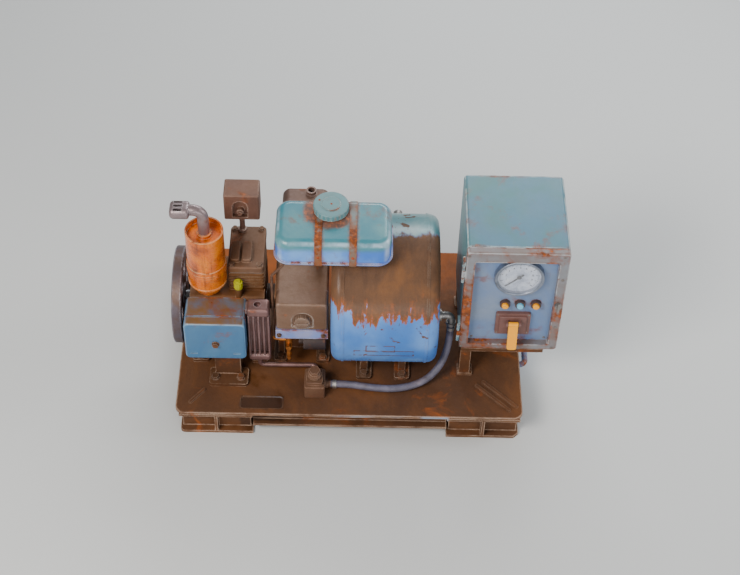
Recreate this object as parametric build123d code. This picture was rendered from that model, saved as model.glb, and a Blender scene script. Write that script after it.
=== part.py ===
"""Engine-driven reciprocating air compressor set on a steel skid. Millimetres, +X to the cabinet end,
+Y to the rear, +Z up. The origin is the centre of the foundation-bolt pattern, on the ground."""

from build123d import *
import math
import os

# Skid
PLATE_LONG = 900.0
PLATE_WIDE = 580.0
PLATE_LOW = 77.0
PLATE_THICK = 8.0
DECK = PLATE_LOW + PLATE_THICK
PLATE_CORNER = 25.0
FOOT_WIDE = 190.0
FOOT_LEFT = -440.0
FOOT_RIGHT = 254.0
STEEL = 8.0
BOLT_SPACING_X = 790.0
BOLT_SPACING_Y = 490.0
FOUNDATION_HOLE_R = 7.0
HANDLE_R = 8.0
HANDLE_OUT = 470.0
HANDLE_HALF = 78.0
HANDLE_Z = 45.0

# Shaft line and the three cylinders that it works
SHAFT_Y = -28.0
SHAFT_Z = 250.0
SHAFT_R = 12.0
RUN_FIT = 0.05
FLYWHEEL_R = 127.0
FLYWHEEL_LEFT = -456.0
FLYWHEEL_WIDE = 25.0
THROW = 25.0
ROD_LONG = 80.0
BORE_R = 38.0
CRANKPIN_R = 9.0
WRIST_R = 4.5
SMALL_END_R = 8.0
FRONT_X = -340.0
TOP_X = -270.0
ENGINE_X = -129.0
ENGINE_THROW = 22.0
ENGINE_ROD = 75.0
ENGINE_BORE_R = 32.0
ENGINE_WRIST_R = 4.2
ENGINE_SMALL_END_R = 7.0
PIN_WIDE = 20.0
PIN_GAP = 9.5
WEB = 8.0
CROWN = 22.0
TURN = {"top": 0, "front": 90, "rear": -90}

# Compressor case, X, Y and Z limits
CASE_X = (-412.0, -222.0)
CASE_Y = (-98.0, 52.0)
CASE_Z = (180.0, 318.0)
CASE_WALL = 12.0
FRONT_BLOCK_X = (-422.0, -266.0)
FRONT_BLOCK_Z = (183.0, 319.0)
SILENCER_X = -365.0
SILENCER_Y = -68.0
SILENCER_R = 48.0
SILENCER_TOP = 536.0
SNORKEL_R = 14.0
SNORKEL_Z = 606.0

# Engine
ENGINE_CASE_X = (-196.0, -62.0)
ENGINE_CASE_Y = (-95.0, 60.0)
ENGINE_CASE_Z = (165.0, 322.0)

# Air receiver
DRUM_R = 192.0
DRUM_LEFT = -50.0
DRUM_RIGHT = 222.0
DRUM_Y = -28.0
DRUM_Z = 292.0
DRUM_WALL = 4.0
HEAD_LONG = 30.0
KNUCKLE = 25.0

# Fuel tank
TANK_X = (-188.0, 97.0)
TANK_Y = (-143.0, 14.0)
TANK_Z = (490.0, 573.0)
TANK_SEAM = (504.0, 508.0)
STRAP_AT = (-82.0, 3.0)
STRAP_WIDE = 18.0
CAP_X = -53.0
CAP_Y = -26.0
CAP_R = 44.0

# Control cabinet
CAB_X = (280.0, 533.0)
CAB_Y = (-125.0, 127.0)
CAB_Z = (193.0, 557.0)
CAB_WALL = 2.5
DOOR_FRONT = -147.0
DOOR_BACK = -126.0
PANEL_FRONT = -129.0
HINGE_X = 275.0
HINGE_Y = -142.0
HINGE_R = 4.0
HINGE_PIN_R = 2.0
GAUGE_X = 415.0
GAUGE_Z = 461.0
GAUGE_R = 62.0
GAUGE_FRONT = -145.0
NEEDLE_REST = 225.0
BUTTONS = {"left": 388.0, "mid": 426.0, "right": 466.0}
BUTTON_Z = 357.0
BUTTON_R = 8.5
LEVER_X = 413.0
LEVER_Y = -153.0
LEVER_Z = 300.0
LEVER_TILT = 12.0
LATCH_X = 519.0
LATCH_Z = 372.0

# Delivery hose: its section and the route of its centre line
HOSE_R = 9.5
HOSE_ROUTE = [
    (-50, -196, 97),
    (-2, -196, 97),
    (51, -206, 97),
    (104, -210, 97),
    (154, -202, 97),
    (200, -183, 103),
    (234, -156, 125),
    (252, -130, 160),
    (258, -112, 204),
    (258, -112, 248),
]

nodes = {}
fasteners = []
machine_feet = []


def block(xs, ys, zs, corner=0.0, along=Axis.Z):
    """A box from its limits, with the edges along one axis rounded."""
    size = [b - a for a, b in (xs, ys, zs)]
    body = Pos(*[(a + b) / 2 for a, b in (xs, ys, zs)]) * Box(*size)
    return fillet(body.edges().filter_by(along), corner) if corner else body


def pillow(xs, ys, zs, radius):
    """A box from its limits, with every edge rounded."""
    body = block(xs, ys, zs)
    return fillet(body.edges(), radius)


def bar(at, radius, length, along="Z"):
    """A round bar that starts at a point and runs along an axis."""
    turn = {"X": Rot(0, 90, 0), "Y": Rot(-90, 0, 0), "Z": Rot(0, 0, 0)}[along]
    return Pos(*at) * turn * Pos(0, 0, length / 2) * Cylinder(radius, length)


def hollow_bar(at, outer, inner, length, along="Z"):
    """A round tube that starts at a point and runs along an axis."""
    return bar(at, outer, length, along) - bar(at, inner, length, along)


def bolt(at, thread, along="Z", reach=0.0):
    """A hexagon head on a washer, on the surface at a point, with its shank behind it."""
    turn = {"Z": Rot(0, 0, 0), "-Y": Rot(90, 0, 0), "Y": Rot(-90, 0, 0), "X": Rot(0, 90, 0)}[along]
    washer = Pos(0, 0, 0.1 * thread) * Cylinder(1.1 * thread, 0.2 * thread)
    head = Pos(0, 0, 0.2 * thread) * extrude(RegularPolygon(0.95 * thread, 6), 0.7 * thread)
    body = washer + head
    if reach:
        body += Pos(0, 0, -reach / 2) * Cylinder(thread / 2, reach)
    return Pos(*at) * turn * body


def pipe(points, outer, inner, bend):
    """A bent tube along a route with equal bends."""
    route = FilletPolyline(*points, radius=bend)
    ring = Circle(outer) - Circle(inner) if inner else Circle(outer)
    return sweep(Plane(route @ 0, z_dir=route % 0) * ring, path=route)


def group(*solids):
    """Separate solids that share one node."""
    return Compound(children=list(solids))


def at_shaft(x, towards):
    """A place on the shaft line whose own +Z points to the cylinder."""
    return Pos(x, SHAFT_Y, SHAFT_Z) * Rot(TURN[towards], 0, 0)


# ---------------------------------------------------------------- skid

HOLD_DOWNS = [
    (x, y, DECK + 10)
    for xs, ys in (((-352, -285), (-180,)), ((-395, -240), (-112, 66)), ((-185, -73), (-107, 73)))
    for x in xs
    for y in ys
]
SADDLE_AT = (36.0, 136.0)
SADDLE_BOLTS = [(x, y, DECK + 8) for x in SADDLE_AT for y in (DRUM_Y - 130, DRUM_Y + 130)]
LEG_AT = [(300.0, -132.0), (300.0, 104.0), (418.0, -38.0), (418.0, 104.0)]
LEG_BOLTS = [(x + 10, y, DECK + 6) for x, y in LEG_AT]
ALL_HOLD_DOWNS = HOLD_DOWNS + SADDLE_BOLTS + LEG_BOLTS
HOLD_DOWN_THREAD = 10.0


def drilled(body):
    """A foot or plate with the hold-down bolts' clearance holes."""
    for x, y, _ in ALL_HOLD_DOWNS:
        body -= bar((x, y, PLATE_LOW - 20), HOLD_DOWN_THREAD / 2 + 0.5, 60)
    return body


def skid():
    half_y = PLATE_WIDE / 2
    deck = block((-PLATE_LONG / 2, PLATE_LONG / 2), (-half_y, half_y), (PLATE_LOW, DECK), PLATE_CORNER)
    deck = chamfer(deck.faces().sort_by(Axis.Z)[-1].edges(), 1.5)
    deck = drilled(deck)
    deck -= block((-282, -173), (-271, -233), (DECK - 3, DECK + 1), 8)
    for x, y, turn, long in ((-396, -235, 51, 60), (374, -224, -44, 122), (392, -212, -44, 122)):
        rib = Rot(0, 0, turn) * Box(long, 9, 4)
        deck += Pos(x, y, DECK + 1.5) * fillet(rib.edges().filter_by(Axis.Z), 4)
    nodes["base_plate"] = deck

    frame = []
    for left, outer in ((FOOT_LEFT, -1), (FOOT_RIGHT, 1)):
        xs = (left, left + FOOT_WIDE)
        middle = left + FOOT_WIDE / 2
        edge = xs[0] if outer < 0 else xs[1]
        low = block(xs, (-half_y, half_y), (0, STEEL))
        outside = [e for e in low.edges().filter_by(Axis.Z) if abs(e.center().X - edge) < 1]
        low = fillet(outside, 12) if outer < 0 else chamfer(outside, 12)
        for y in (-BOLT_SPACING_Y / 2, BOLT_SPACING_Y / 2):
            low -= bar((outer * BOLT_SPACING_X / 2, y, -1), FOUNDATION_HOLE_R, STEEL + 2)
        high = block(xs, (-half_y, half_y), (PLATE_LOW - STEEL, PLATE_LOW))
        high = drilled(high)
        web = block((middle - 4, middle + 4), (-half_y, half_y), (STEEL, PLATE_LOW - STEEL))
        frame += [low, high, web]
        for side in (-1, 1):
            for x0, x1 in ((xs[0] + 6, middle - 4), (middle + 4, xs[1] - 6)):
                ys = sorted((side * (half_y - 20), side * (half_y - 26)))
                frame.append(block((x0, x1), ys, (STEEL, PLATE_LOW - STEEL)))
    rail_x = (FOOT_LEFT + FOOT_WIDE, FOOT_RIGHT)
    for side in (-1, 1):
        web_y = sorted((side * 258, side * 264))
        flange_y = sorted((side * 264, side * 284))
        frame.append(block(rail_x, web_y, (27, PLATE_LOW)))
        frame.append(block(rail_x, flange_y, (PLATE_LOW - 6, PLATE_LOW)))
        frame.append(block(rail_x, flange_y, (27, 33)))
    nodes["skid_frame"] = group(*frame)

    plate_x = (FOOT_RIGHT + FOOT_WIDE - STEEL, FOOT_RIGHT + FOOT_WIDE)
    plate = block(plate_x, (-100, 100), (STEEL, PLATE_LOW - STEEL))
    ends = ((plate_x[1], -1), (HANDLE_OUT, -1), (HANDLE_OUT, 1), (plate_x[1], 1))
    points = [(x, side * HANDLE_HALF, HANDLE_Z) for x, side in ends]
    nodes["end_handle"] = group(plate, pipe(points, HANDLE_R, 0, 17))
    fasteners.extend(bolt(at, HOLD_DOWN_THREAD, reach=at[2] - PLATE_LOW + 6) for at in ALL_HOLD_DOWNS)


# ---------------------------------------------------------------- crank gear

def crank(throws, start, end):
    """A crankshaft: journals on the shaft line, and two webs and a pin at each throw."""
    marks = [start]
    for x, _, _ in throws:
        marks += [x - PIN_WIDE / 2 - WEB, x + PIN_WIDE / 2 + WEB]
    marks.append(end)
    body = None
    for a, b in zip(marks[::2], marks[1::2]):
        journal = bar((a, SHAFT_Y, SHAFT_Z), SHAFT_R, b - a, "X")
        body = journal if body is None else body + journal
    for x, towards, radius in throws:
        for side in (-1, 1):
            inner = side * PIN_WIDE / 2
            low = min(inner, inner + side * WEB)
            web = bar((low, 0, 0), 24, WEB, "X") + bar((low, 0, radius), 14, WEB, "X")
            web += block((low, low + WEB), (-14, 14), (0, radius))
            body += at_shaft(x, towards) * web
        body += at_shaft(x, towards) * bar((-PIN_WIDE / 2, 0, radius), CRANKPIN_R, PIN_WIDE, "X")
    return body


def connecting_rod(x, towards, radius, long, end_r, wrist_r):
    """A rod from its crankpin to its wrist pin, at top dead centre."""
    wide = PIN_WIDE - 1
    big = bar((-wide / 2, 0, radius), CRANKPIN_R + 7, wide, "X")
    small = bar((-wide / 2 + 1, 0, radius + long), end_r, wide - 2, "X")
    shank = block((-5, 5), (-5, 5), (radius, radius + long))
    body = big + small + shank
    body -= bar((-wide, 0, radius), CRANKPIN_R + RUN_FIT, 2 * wide, "X")
    body -= bar((-wide, 0, radius + long), wrist_r + RUN_FIT, 2 * wide, "X")
    return at_shaft(x, towards) * body


def piston(x, towards, pin_at, bore_r, wrist_r):
    """A piston at top dead centre: crown, skirt with two ring grooves, and pin bosses."""
    skirt = bar((0, 0, pin_at - 10), bore_r - RUN_FIT, CROWN + 10)
    skirt -= bar((0, 0, pin_at - 11), bore_r - 4, 21)
    for z in (12, 17):
        skirt -= hollow_bar((0, 0, pin_at + z), bore_r + 1, bore_r - 2, 2)
    for side in (-1, 1):
        start = 10 if side > 0 else -(bore_r - 2)
        boss = bar((start, 0, pin_at), 8.5, bore_r - 12, "X")
        skirt += boss
    skirt -= bar((-bore_r, 0, pin_at), wrist_r, 2 * bore_r, "X")
    return at_shaft(x, towards) * skirt


def wrist_pin(x, towards, pin_at, bore_r, wrist_r):
    """The pin's two ends, held in the bosses. Between them is the open pivot's clearance."""
    long = bore_r - 4 - PIN_GAP
    starts = (PIN_GAP, -PIN_GAP - long)
    return [at_shaft(x, towards) * bar((start, 0, pin_at), wrist_r, long, "X") for start in starts]


def bearing(x, wide):
    return hollow_bar((x, SHAFT_Y, SHAFT_Z), SHAFT_R + 6, SHAFT_R + RUN_FIT, wide, "X")


CYLINDERS = {
    "front": (FRONT_X, "front", THROW, ROD_LONG, BORE_R, SMALL_END_R, WRIST_R),
    "top": (TOP_X, "top", THROW, ROD_LONG, BORE_R, SMALL_END_R, WRIST_R),
    "engine": (
        ENGINE_X, "rear", ENGINE_THROW, ENGINE_ROD,
        ENGINE_BORE_R, ENGINE_SMALL_END_R, ENGINE_WRIST_R,
    ),
}


def crank_gear():
    joint_x = (CASE_X[1] + ENGINE_CASE_X[0]) / 2
    compressor_throws = [(FRONT_X, "front", THROW), (TOP_X, "top", THROW)]
    nodes["crankshaft"] = crank(compressor_throws, FLYWHEEL_LEFT, joint_x)
    nodes["engine_crankshaft"] = crank([(ENGINE_X, "rear", ENGINE_THROW)], joint_x, ENGINE_CASE_X[1] - 2)
    pistons = []
    for name, (x, towards, radius, long, bore_r, end_r, wrist_r) in CYLINDERS.items():
        nodes[name + "_rod"] = connecting_rod(x, towards, radius, long, end_r, wrist_r)
        pistons.append(piston(x, towards, radius + long, bore_r, wrist_r))
        pistons.extend(wrist_pin(x, towards, radius + long, bore_r, wrist_r))
    nodes["pistons"] = group(*pistons)
    nodes["main_bearings"] = group(
        bearing(CASE_X[0], CASE_WALL),
        bearing(CASE_X[1] - CASE_WALL, CASE_WALL),
        bearing(ENGINE_CASE_X[0], CASE_WALL),
        bearing(ENGINE_CASE_X[1] - CASE_WALL, CASE_WALL - 2),
    )

    rim = hollow_bar((FLYWHEEL_LEFT, SHAFT_Y, SHAFT_Z), FLYWHEEL_R, FLYWHEEL_R - 18, FLYWHEEL_WIDE, "X")
    rim = chamfer(rim.edges().filter_by(GeomType.CIRCLE), 2)
    disc = bar((FLYWHEEL_LEFT + 10, SHAFT_Y, SHAFT_Z), FLYWHEEL_R - 17, 10, "X")
    hub = bar((FLYWHEEL_LEFT + 2, SHAFT_Y, SHAFT_Z), 30, FLYWHEEL_WIDE - 2, "X")
    wheel = rim + disc + hub
    for i in range(6):
        turn = math.radians(60 * i)
        y = SHAFT_Y + 70 * math.cos(turn)
        z = SHAFT_Z + 70 * math.sin(turn)
        wheel -= bar((FLYWHEEL_LEFT, y, z), 20, FLYWHEEL_WIDE, "X")
    wheel -= bar((FLYWHEEL_LEFT - 1, SHAFT_Y, SHAFT_Z), SHAFT_R, FLYWHEEL_WIDE + 2, "X")
    nodes["flywheel"] = wheel

    flanges = []
    for start in (CASE_X[1] + 2, ENGINE_CASE_X[0] - 10):
        flanges.append(hollow_bar((start, SHAFT_Y, SHAFT_Z), 32, SHAFT_R, 8, "X"))
    disc_x = CASE_X[1] + 10
    disc_wide = ENGINE_CASE_X[0] - 10 - disc_x
    rubber_disc = hollow_bar((disc_x, SHAFT_Y, SHAFT_Z), 34, SHAFT_R, disc_wide, "X")
    nodes["shaft_coupling"] = group(*flanges, rubber_disc)


# ---------------------------------------------------------------- compressor

def compressor():
    cavity = block((CASE_X[0] + CASE_WALL, CASE_X[1] - CASE_WALL), (SHAFT_Y - 52, SHAFT_Y + 52), (198, 302))
    case = block(CASE_X, CASE_Y, CASE_Z, 10, Axis.X) - cavity
    case -= bar((CASE_X[0] - 1, SHAFT_Y, SHAFT_Z), SHAFT_R + 6, 192, "X")
    case -= bar((FRONT_X, CASE_Y[0] - 1, SHAFT_Z), BORE_R, 40, "Y")
    case -= bar((TOP_X, SHAFT_Y, 290), BORE_R, 40)
    neck = (-287, -88)
    case += bar((*neck, CASE_Z[1] - 4), 9, 34)
    case -= bar((*neck, 295), 6, 60)
    case += hollow_bar((CASE_X[0] - 5, SHAFT_Y, SHAFT_Z), 44, SHAFT_R + 6, 6, "X")
    nodes["compressor_case"] = case
    foot_top = CASE_Z[0]
    legs = [block((x, x + 26), (-98, 52), (DECK + 10, foot_top)) for x in (-404, -256)]
    feet = [drilled(block((x, x + 44), (-122, 76), (DECK, DECK + 10), 6)) for x in (-417, -260)]
    web = block((-378, -256), (-30, -18), (DECK + 10, foot_top))
    foot = drilled(block((-367, -266), (-202, -146), (DECK, DECK + 10), 8))
    leg = block((-352, -285), (-166, -126), (DECK + 10, FRONT_BLOCK_Z[0]))
    machine_feet.extend([*legs, *feet, web, foot, leg])

    front_x, front_z = FRONT_BLOCK_X, FRONT_BLOCK_Z
    inset_x = (front_x[0] + 2, front_x[1] - 2)
    inset_z = (front_z[0] + 2, front_z[1] - 2)
    barrel = block(front_x, (-160, CASE_Y[0]), front_z, 14, Axis.Y)
    barrel -= bar((FRONT_X, -170, SHAFT_Z), BORE_R, 90, "Y")
    nodes["front_cylinder"] = barrel
    plate = block(inset_x, (-164, -160), inset_z, 13, Axis.Y)
    for side in (-16, 16):
        plate -= bar((FRONT_X + side, -170, SHAFT_Z), 9, 20, "Y")
    valve_plates = [plate]
    cover = block(front_x, (-190, -164), front_z, 14, Axis.Y)
    cover = fillet(cover.faces().sort_by(Axis.Y)[0].edges(), 7)
    inside_x = (front_x[0] + 8, front_x[1] - 8)
    inside_z = (front_z[0] + 8, front_z[1] - 8)
    cover -= block(inside_x, (-180, -163), inside_z, 8, Axis.Y)
    for x in (-400, -290):
        cover -= block((x - 9, x + 9), (-192, -188.5), (204, 209), 2.4, Axis.Y)
    nodes["front_head"] = cover
    fasteners.append(bolt((-343, -190, 244), 9, "-Y"))

    top_x = (-314, CASE_X[1])
    top = block(top_x, (-70, 52), (CASE_Z[1], 380), 8)
    for z in (330, 342, 354, 366):
        ring = block((top_x[0] - 1, top_x[1] + 1), (-71, 53), (z, z + 5), 8)
        ring -= block((top_x[0] + 4, top_x[1] - 4), (-66, 48), (z, z + 5), 4)
        top -= ring
    nodes["top_cylinder"] = top - bar((TOP_X, SHAFT_Y, 300), BORE_R, 100)
    plate = block((top_x[0] + 2, top_x[1] - 2), (-68, 50), (380, 384), 7)
    for side in (-16, 16):
        plate -= bar((TOP_X + side, SHAFT_Y, 370), 9, 20)
    nodes["valve_plates"] = group(*valve_plates, plate)
    head = block(top_x, (-70, 77), (384, 402), 10)
    head = fillet(head.faces().sort_by(Axis.Z)[-1].edges(), 4)
    head -= block((-304, -236), (-58, 40), (383, 394), 6)
    covers = [block(xs, (-52, 14), (402, 413), 6) for xs in ((-308, -284), (-279, -254))]
    covers = [fillet(c.faces().sort_by(Axis.Z)[-1].edges(), 3) for c in covers]
    nodes["top_head"] = group(head, *covers)
    fasteners.extend(bolt((x, y, 402), 7) for x in (-303, -234) for y in (-60, 66))

    stem = bar((-283, 62, 402), 7, 60) + bar((-283, 62, 402), 11, 8) + bar((-283, 62, 448), 10, 14)
    case = block((-326, -236), (42, 105), (462, 545), 5, Axis.Z)
    case = fillet(case.faces().sort_by(Axis.Z)[-1].edges(), 4)
    arch = block((-304, -266), (41, 54), (470, 506)) + bar((-285, 41, 506), 19, 13, "Y")
    plunger = bar((-285, 42, 488), 9, 12, "Y") + bar((-285, 36, 488), 6, 6, "Y")
    nodes["pressure_switch"] = group(case - arch, stem, plunger)

    rim, lid = SILENCER_TOP, SILENCER_TOP - 15
    skin = 3
    profile = make_face(Polyline(
        (0, 318), (24, 318), (24, 328), (34, 331), (SILENCER_R, 360), (SILENCER_R, rim),
        (SILENCER_R - 4, rim), (SILENCER_R - 4, lid), (SNORKEL_R + 4, lid), (SNORKEL_R + 4, lid + 9),
        (SNORKEL_R + RUN_FIT, lid + 9), (SNORKEL_R + RUN_FIT, lid - 7), (SILENCER_R - skin, lid - 7),
        (SILENCER_R - skin, 362), (32, 334), (14, 334), (14, 321), (0, 321), (0, 318),
    ))
    shell = revolve(Plane.XZ * profile, Axis.Z)
    shell += hollow_bar((0, 0, 396), SILENCER_R + 1.8, SILENCER_R - 1, 32)
    shell += hollow_bar((0, 0, 360), SILENCER_R + 1.2, SILENCER_R - 1, 4)
    nodes["intake_silencer"] = Pos(SILENCER_X, SILENCER_Y, 0) * shell
    steps = ((0, lid - 5), (0, SNORKEL_Z), (-42, SNORKEL_Z))
    rise = [(SILENCER_X + out, SILENCER_Y, z) for out, z in steps]
    tube = pipe(rise, SNORKEL_R, SNORKEL_R - 2.5, 24)
    mouth_y = (SILENCER_Y - 24, SILENCER_Y + 24)
    mouth = block((-444, -396), mouth_y, (590, 621), 14, Axis.X)
    mouth = fillet(mouth.faces().sort_by(Axis.X)[0].edges(), 10)
    mouth = fillet(mouth.faces().sort_by(Axis.X)[-1].edges(), 7)
    mouth -= block((-439, -402), (mouth_y[0] + 4, mouth_y[1] - 4), (594, 617), 10, Axis.X)
    mouth -= bar((-404, SILENCER_Y, SNORKEL_Z), SNORKEL_R - 2.5, 12, "X")
    for y in (-13, 0, 13):
        mouth -= block((-434, -412), (SILENCER_Y + y - 4, SILENCER_Y + y + 4), (612, 623), 3)
    nodes["snorkel"] = tube + mouth

    cap = bar((*neck, 349), 11, 20)
    for i in range(12):
        turn = math.radians(30 * i)
        cap -= bar((neck[0] + 11.6 * math.cos(turn), neck[1] + 11.6 * math.sin(turn), 345), 1.4, 30)
    cap = cap + bar((*neck, 369), 6, 5)
    cap += hollow_bar((*neck, 335), 6 - RUN_FIT, 4, 15)
    nodes["oil_cap"] = cap

    cooler_x = (-263, -205)
    fins = [block((x, x + 5), (-164, -124), (170, 322), 2) for x in (-261, -248.5, -236, -223.5, -211)]
    low = pillow(cooler_x, (-166, -121), (148, 172), 9)
    high = pillow(cooler_x, (-166, -121), (320, 348), 9)
    core = block((-259, -208), (-150, -136), (170, 322))
    body = low + high + core
    for fin in fins:
        body += fin
    body += block((-266, -258), (-156, -128), (326, 340))
    body -= bar((-236, -143, 336), 9, 12)
    run = [(-236, -142, 150), (-236, -142, 106), (-88, -142, 106), (-88, -170, 106)]
    nodes["aftercooler"] = group(body, pipe(run, 6, 4.5, 13))


# ---------------------------------------------------------------- engine

def engine():
    case = block(ENGINE_CASE_X, ENGINE_CASE_Y, ENGINE_CASE_Z, 10, Axis.X)
    inside_x = (ENGINE_CASE_X[0] + CASE_WALL, ENGINE_CASE_X[1] - CASE_WALL)
    case -= block(inside_x, (SHAFT_Y - 48, ENGINE_CASE_Y[1] - CASE_WALL), (200, 300))
    case -= bar((ENGINE_CASE_X[0] - 1, SHAFT_Y, SHAFT_Z), SHAFT_R + 6, 133, "X")
    case -= bar((ENGINE_X, 40, SHAFT_Z), ENGINE_BORE_R, 30, "Y")
    nodes["engine_case"] = case
    legs = [block((x, x + 16), (-95, 60), (DECK + 10, ENGINE_CASE_Z[0])) for x in (-190, -84)]
    feet = [drilled(block((x, x + 34), (-118, 84), (DECK, DECK + 10), 6)) for x in (-202, -90)]
    sump = block((-174, -84), (-80, 46), (DECK + 18, ENGINE_CASE_Z[0]), 8)
    machine_feet.extend([*legs, *feet, sump])

    low_x, high_x = ENGINE_X - 50, ENGINE_X + 50
    barrel = bar((ENGINE_X, 60, SHAFT_Z), ENGINE_BORE_R + 9, 42, "Y")
    for y in range(64, 100, 7):
        barrel += block((low_x, high_x), (y, y + 3), (SHAFT_Z - 50, SHAFT_Z + 46), 8, Axis.Y)
    nodes["engine_cylinder"] = barrel - bar((ENGINE_X, 50, SHAFT_Z), ENGINE_BORE_R, 60, "Y")
    head = block((low_x + 6, high_x - 6), (102, 134), (SHAFT_Z - 42, SHAFT_Z + 42), 9, Axis.Y)
    for y in (108, 116, 124):
        head += block((low_x, high_x), (y, y + 3), (SHAFT_Z - 48, SHAFT_Z + 45), 9, Axis.Y)
    head -= bar((ENGINE_X, 101, SHAFT_Z), 26, 12, "Y")
    cover = block((low_x + 12, high_x - 12), (134, 160), (SHAFT_Z - 34, SHAFT_Z + 34), 10, Axis.Y)
    cover = fillet(cover.faces().sort_by(Axis.Y)[-1].edges(), 5)
    cover -= block((low_x + 16, high_x - 16), (133, 155), (SHAFT_Z - 30, SHAFT_Z + 30), 6, Axis.Y)
    plug = bar((high_x, 118, SHAFT_Z - 20), 7, 10, "X") + bar((high_x, 118, SHAFT_Z - 20), 4, 22, "X")
    nodes["engine_head"] = group(head, cover, plug)

    clean_x, clean_front, clean_z = (-190, -58), -150, (258, 356)
    cover = block(clean_x, (clean_front, -97), clean_z, 9, Axis.Y)
    cover += block(clean_x, (-99, -4), (326, clean_z[1]), 7, Axis.Y)
    cover = fillet(cover.faces().sort_by(Axis.Y)[0].edges(), 6)
    inside_x = (clean_x[0] + 5, clean_x[1] - 5)
    cover -= block(inside_x, (-144, -90), (clean_z[0] + 5, clean_z[1] - 5), 6, Axis.Y)
    cover -= block((-150, -108), (-100, 0), (330, 352), 4, Axis.Y)
    recess = block((-150, -96), (-151, -147), (270, 296)) + bar((-123, -151, 296), 27, 4, "Y")
    cover -= recess
    cover -= block((-139, -107), (-152, -146), (264, 268), 1.8, Axis.Y)
    cover -= bar((-123, -152, 296), 6 + RUN_FIT, 12, "Y")
    nodes["air_cleaner_cover"] = cover
    nodes["filter_element"] = block((-180, -68), (-138, -102), (272, 342), 12, Axis.Y)
    knob = bar((-123, -161, 296), 20.5, 13, "Y")
    knob = fillet(knob.faces().sort_by(Axis.Y)[0].edges(), 4)
    for i in range(10):
        turn = math.radians(36 * i)
        knob -= bar((-123 + 21.5 * math.cos(turn), -162, 296 + 21.5 * math.sin(turn)), 2.6, 16, "Y")
    knob += block((-137, -109), (-165, -160), (292.5, 299.5), 3, Axis.Y)
    nodes["cover_knob"] = knob + bar((-123, -149, 296), 6, 8, "Y")
    duct = block((-150, -108), (-4, 62), (330, 350), 5, Axis.Y)
    duct -= block((-147, -111), (-5, 63), (333, 347), 3, Axis.Y)
    carb = block((-149, -109), (62, 96), (306, 352), 6, Axis.Y) + bar((-129, 79, 296), 14, 12)
    nodes["carburettor"] = group(carb + block((-141, -117), (96, 106), (298, 326)), duct)
    shelf = block((-192, -58), (-150, -95), (251, 256)) + block((-192, -58), (-150, -145), (224, 252))
    nodes["shelf_bracket"] = shelf
    fasteners.extend(bolt((x, -150, 238), 6, "-Y") for x in (-183, -70))
    motor = bar((-122, -123, 190), 27, 58, "X")
    motor = fillet(motor.edges().filter_by(GeomType.CIRCLE), 3)
    motor += bar((-134, -123, 190), 12, 14, "X")
    nodes["starter_motor"] = motor + block((-110, -72), (-100, -95), (172, 208))

    body = pillow((-184, -62), (106, 190), (330, 440), 20) - pillow((-181, -65), (109, 187), (333, 437), 17)
    seam = block((-187, -59), (103, 193), (383, 387), 22) - block((-182, -64), (108, 188), (382, 388), 18)
    body = body + seam
    body += hollow_bar((-109, 165, 436), 13, 9, 14)
    body -= bar((-109, 165, 430), 9, 14) + bar((-90, 122, 325), 9, 12)
    pipe_down = hollow_bar((-90, 122, 295), 9, 7, 35) + hollow_bar((-90, 122, 295), 15, 7, 5)
    nodes["muffler"] = group(body, pipe_down)

    tap_x, tap_y = -160, -132
    tap = bar((tap_x, tap_y, 168), 9, 56) + bar((tap_x, tap_y, 120), 5, 50) + bar((tap_x, tap_y, 138), 7, 6)
    tap += bar((tap_x - 24, tap_y, 200), 5, 22, "X")
    tap += bar((tap_x, -148, 188), 6, 14, "Y")
    tap -= bar((tap_x, -149, 188), 3 + RUN_FIT, 8, "Y")
    lever = bar((tap_x, -154, 188), 7, 5.5, "Y") + block((tap_x - 4, tap_x + 4), (-154, -150), (152, 188))
    lever += bar((tap_x, -155, 152), 5, 6, "Y") + bar((tap_x, -150, 188), 3, 8, "Y")
    nodes["tap_lever"] = lever
    line_x = -199
    line = [(-170, -112, TANK_Z[0]), (-170, -112, 462), (line_x, -118, 430), (line_x, tap_y, 230)]
    line += [(line_x, tap_y, 200), (tap_x - 24, tap_y, 200)]
    route = FilletPolyline(*line, radius=[12, 14, 10, 9])
    nodes["fuel_tap"] = group(tap, sweep(Plane(route @ 0, z_dir=route % 0) * Circle(3.5), path=route))


# ---------------------------------------------------------------- fuel tank

def tank_skin(grow):
    """The tank's outer form, grown or shrunk by an even amount."""
    xs = (TANK_X[0] - grow, TANK_X[1] + grow)
    ys = (TANK_Y[0] - grow, TANK_Y[1] + grow)
    body = block(xs, ys, (TANK_Z[0] - grow, TANK_Z[1] + grow), 34 + grow)
    body = fillet(body.faces().sort_by(Axis.Z)[-1].edges(), 20 + grow)
    return fillet(body.faces().sort_by(Axis.Z)[0].edges(), 13 + grow)


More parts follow.
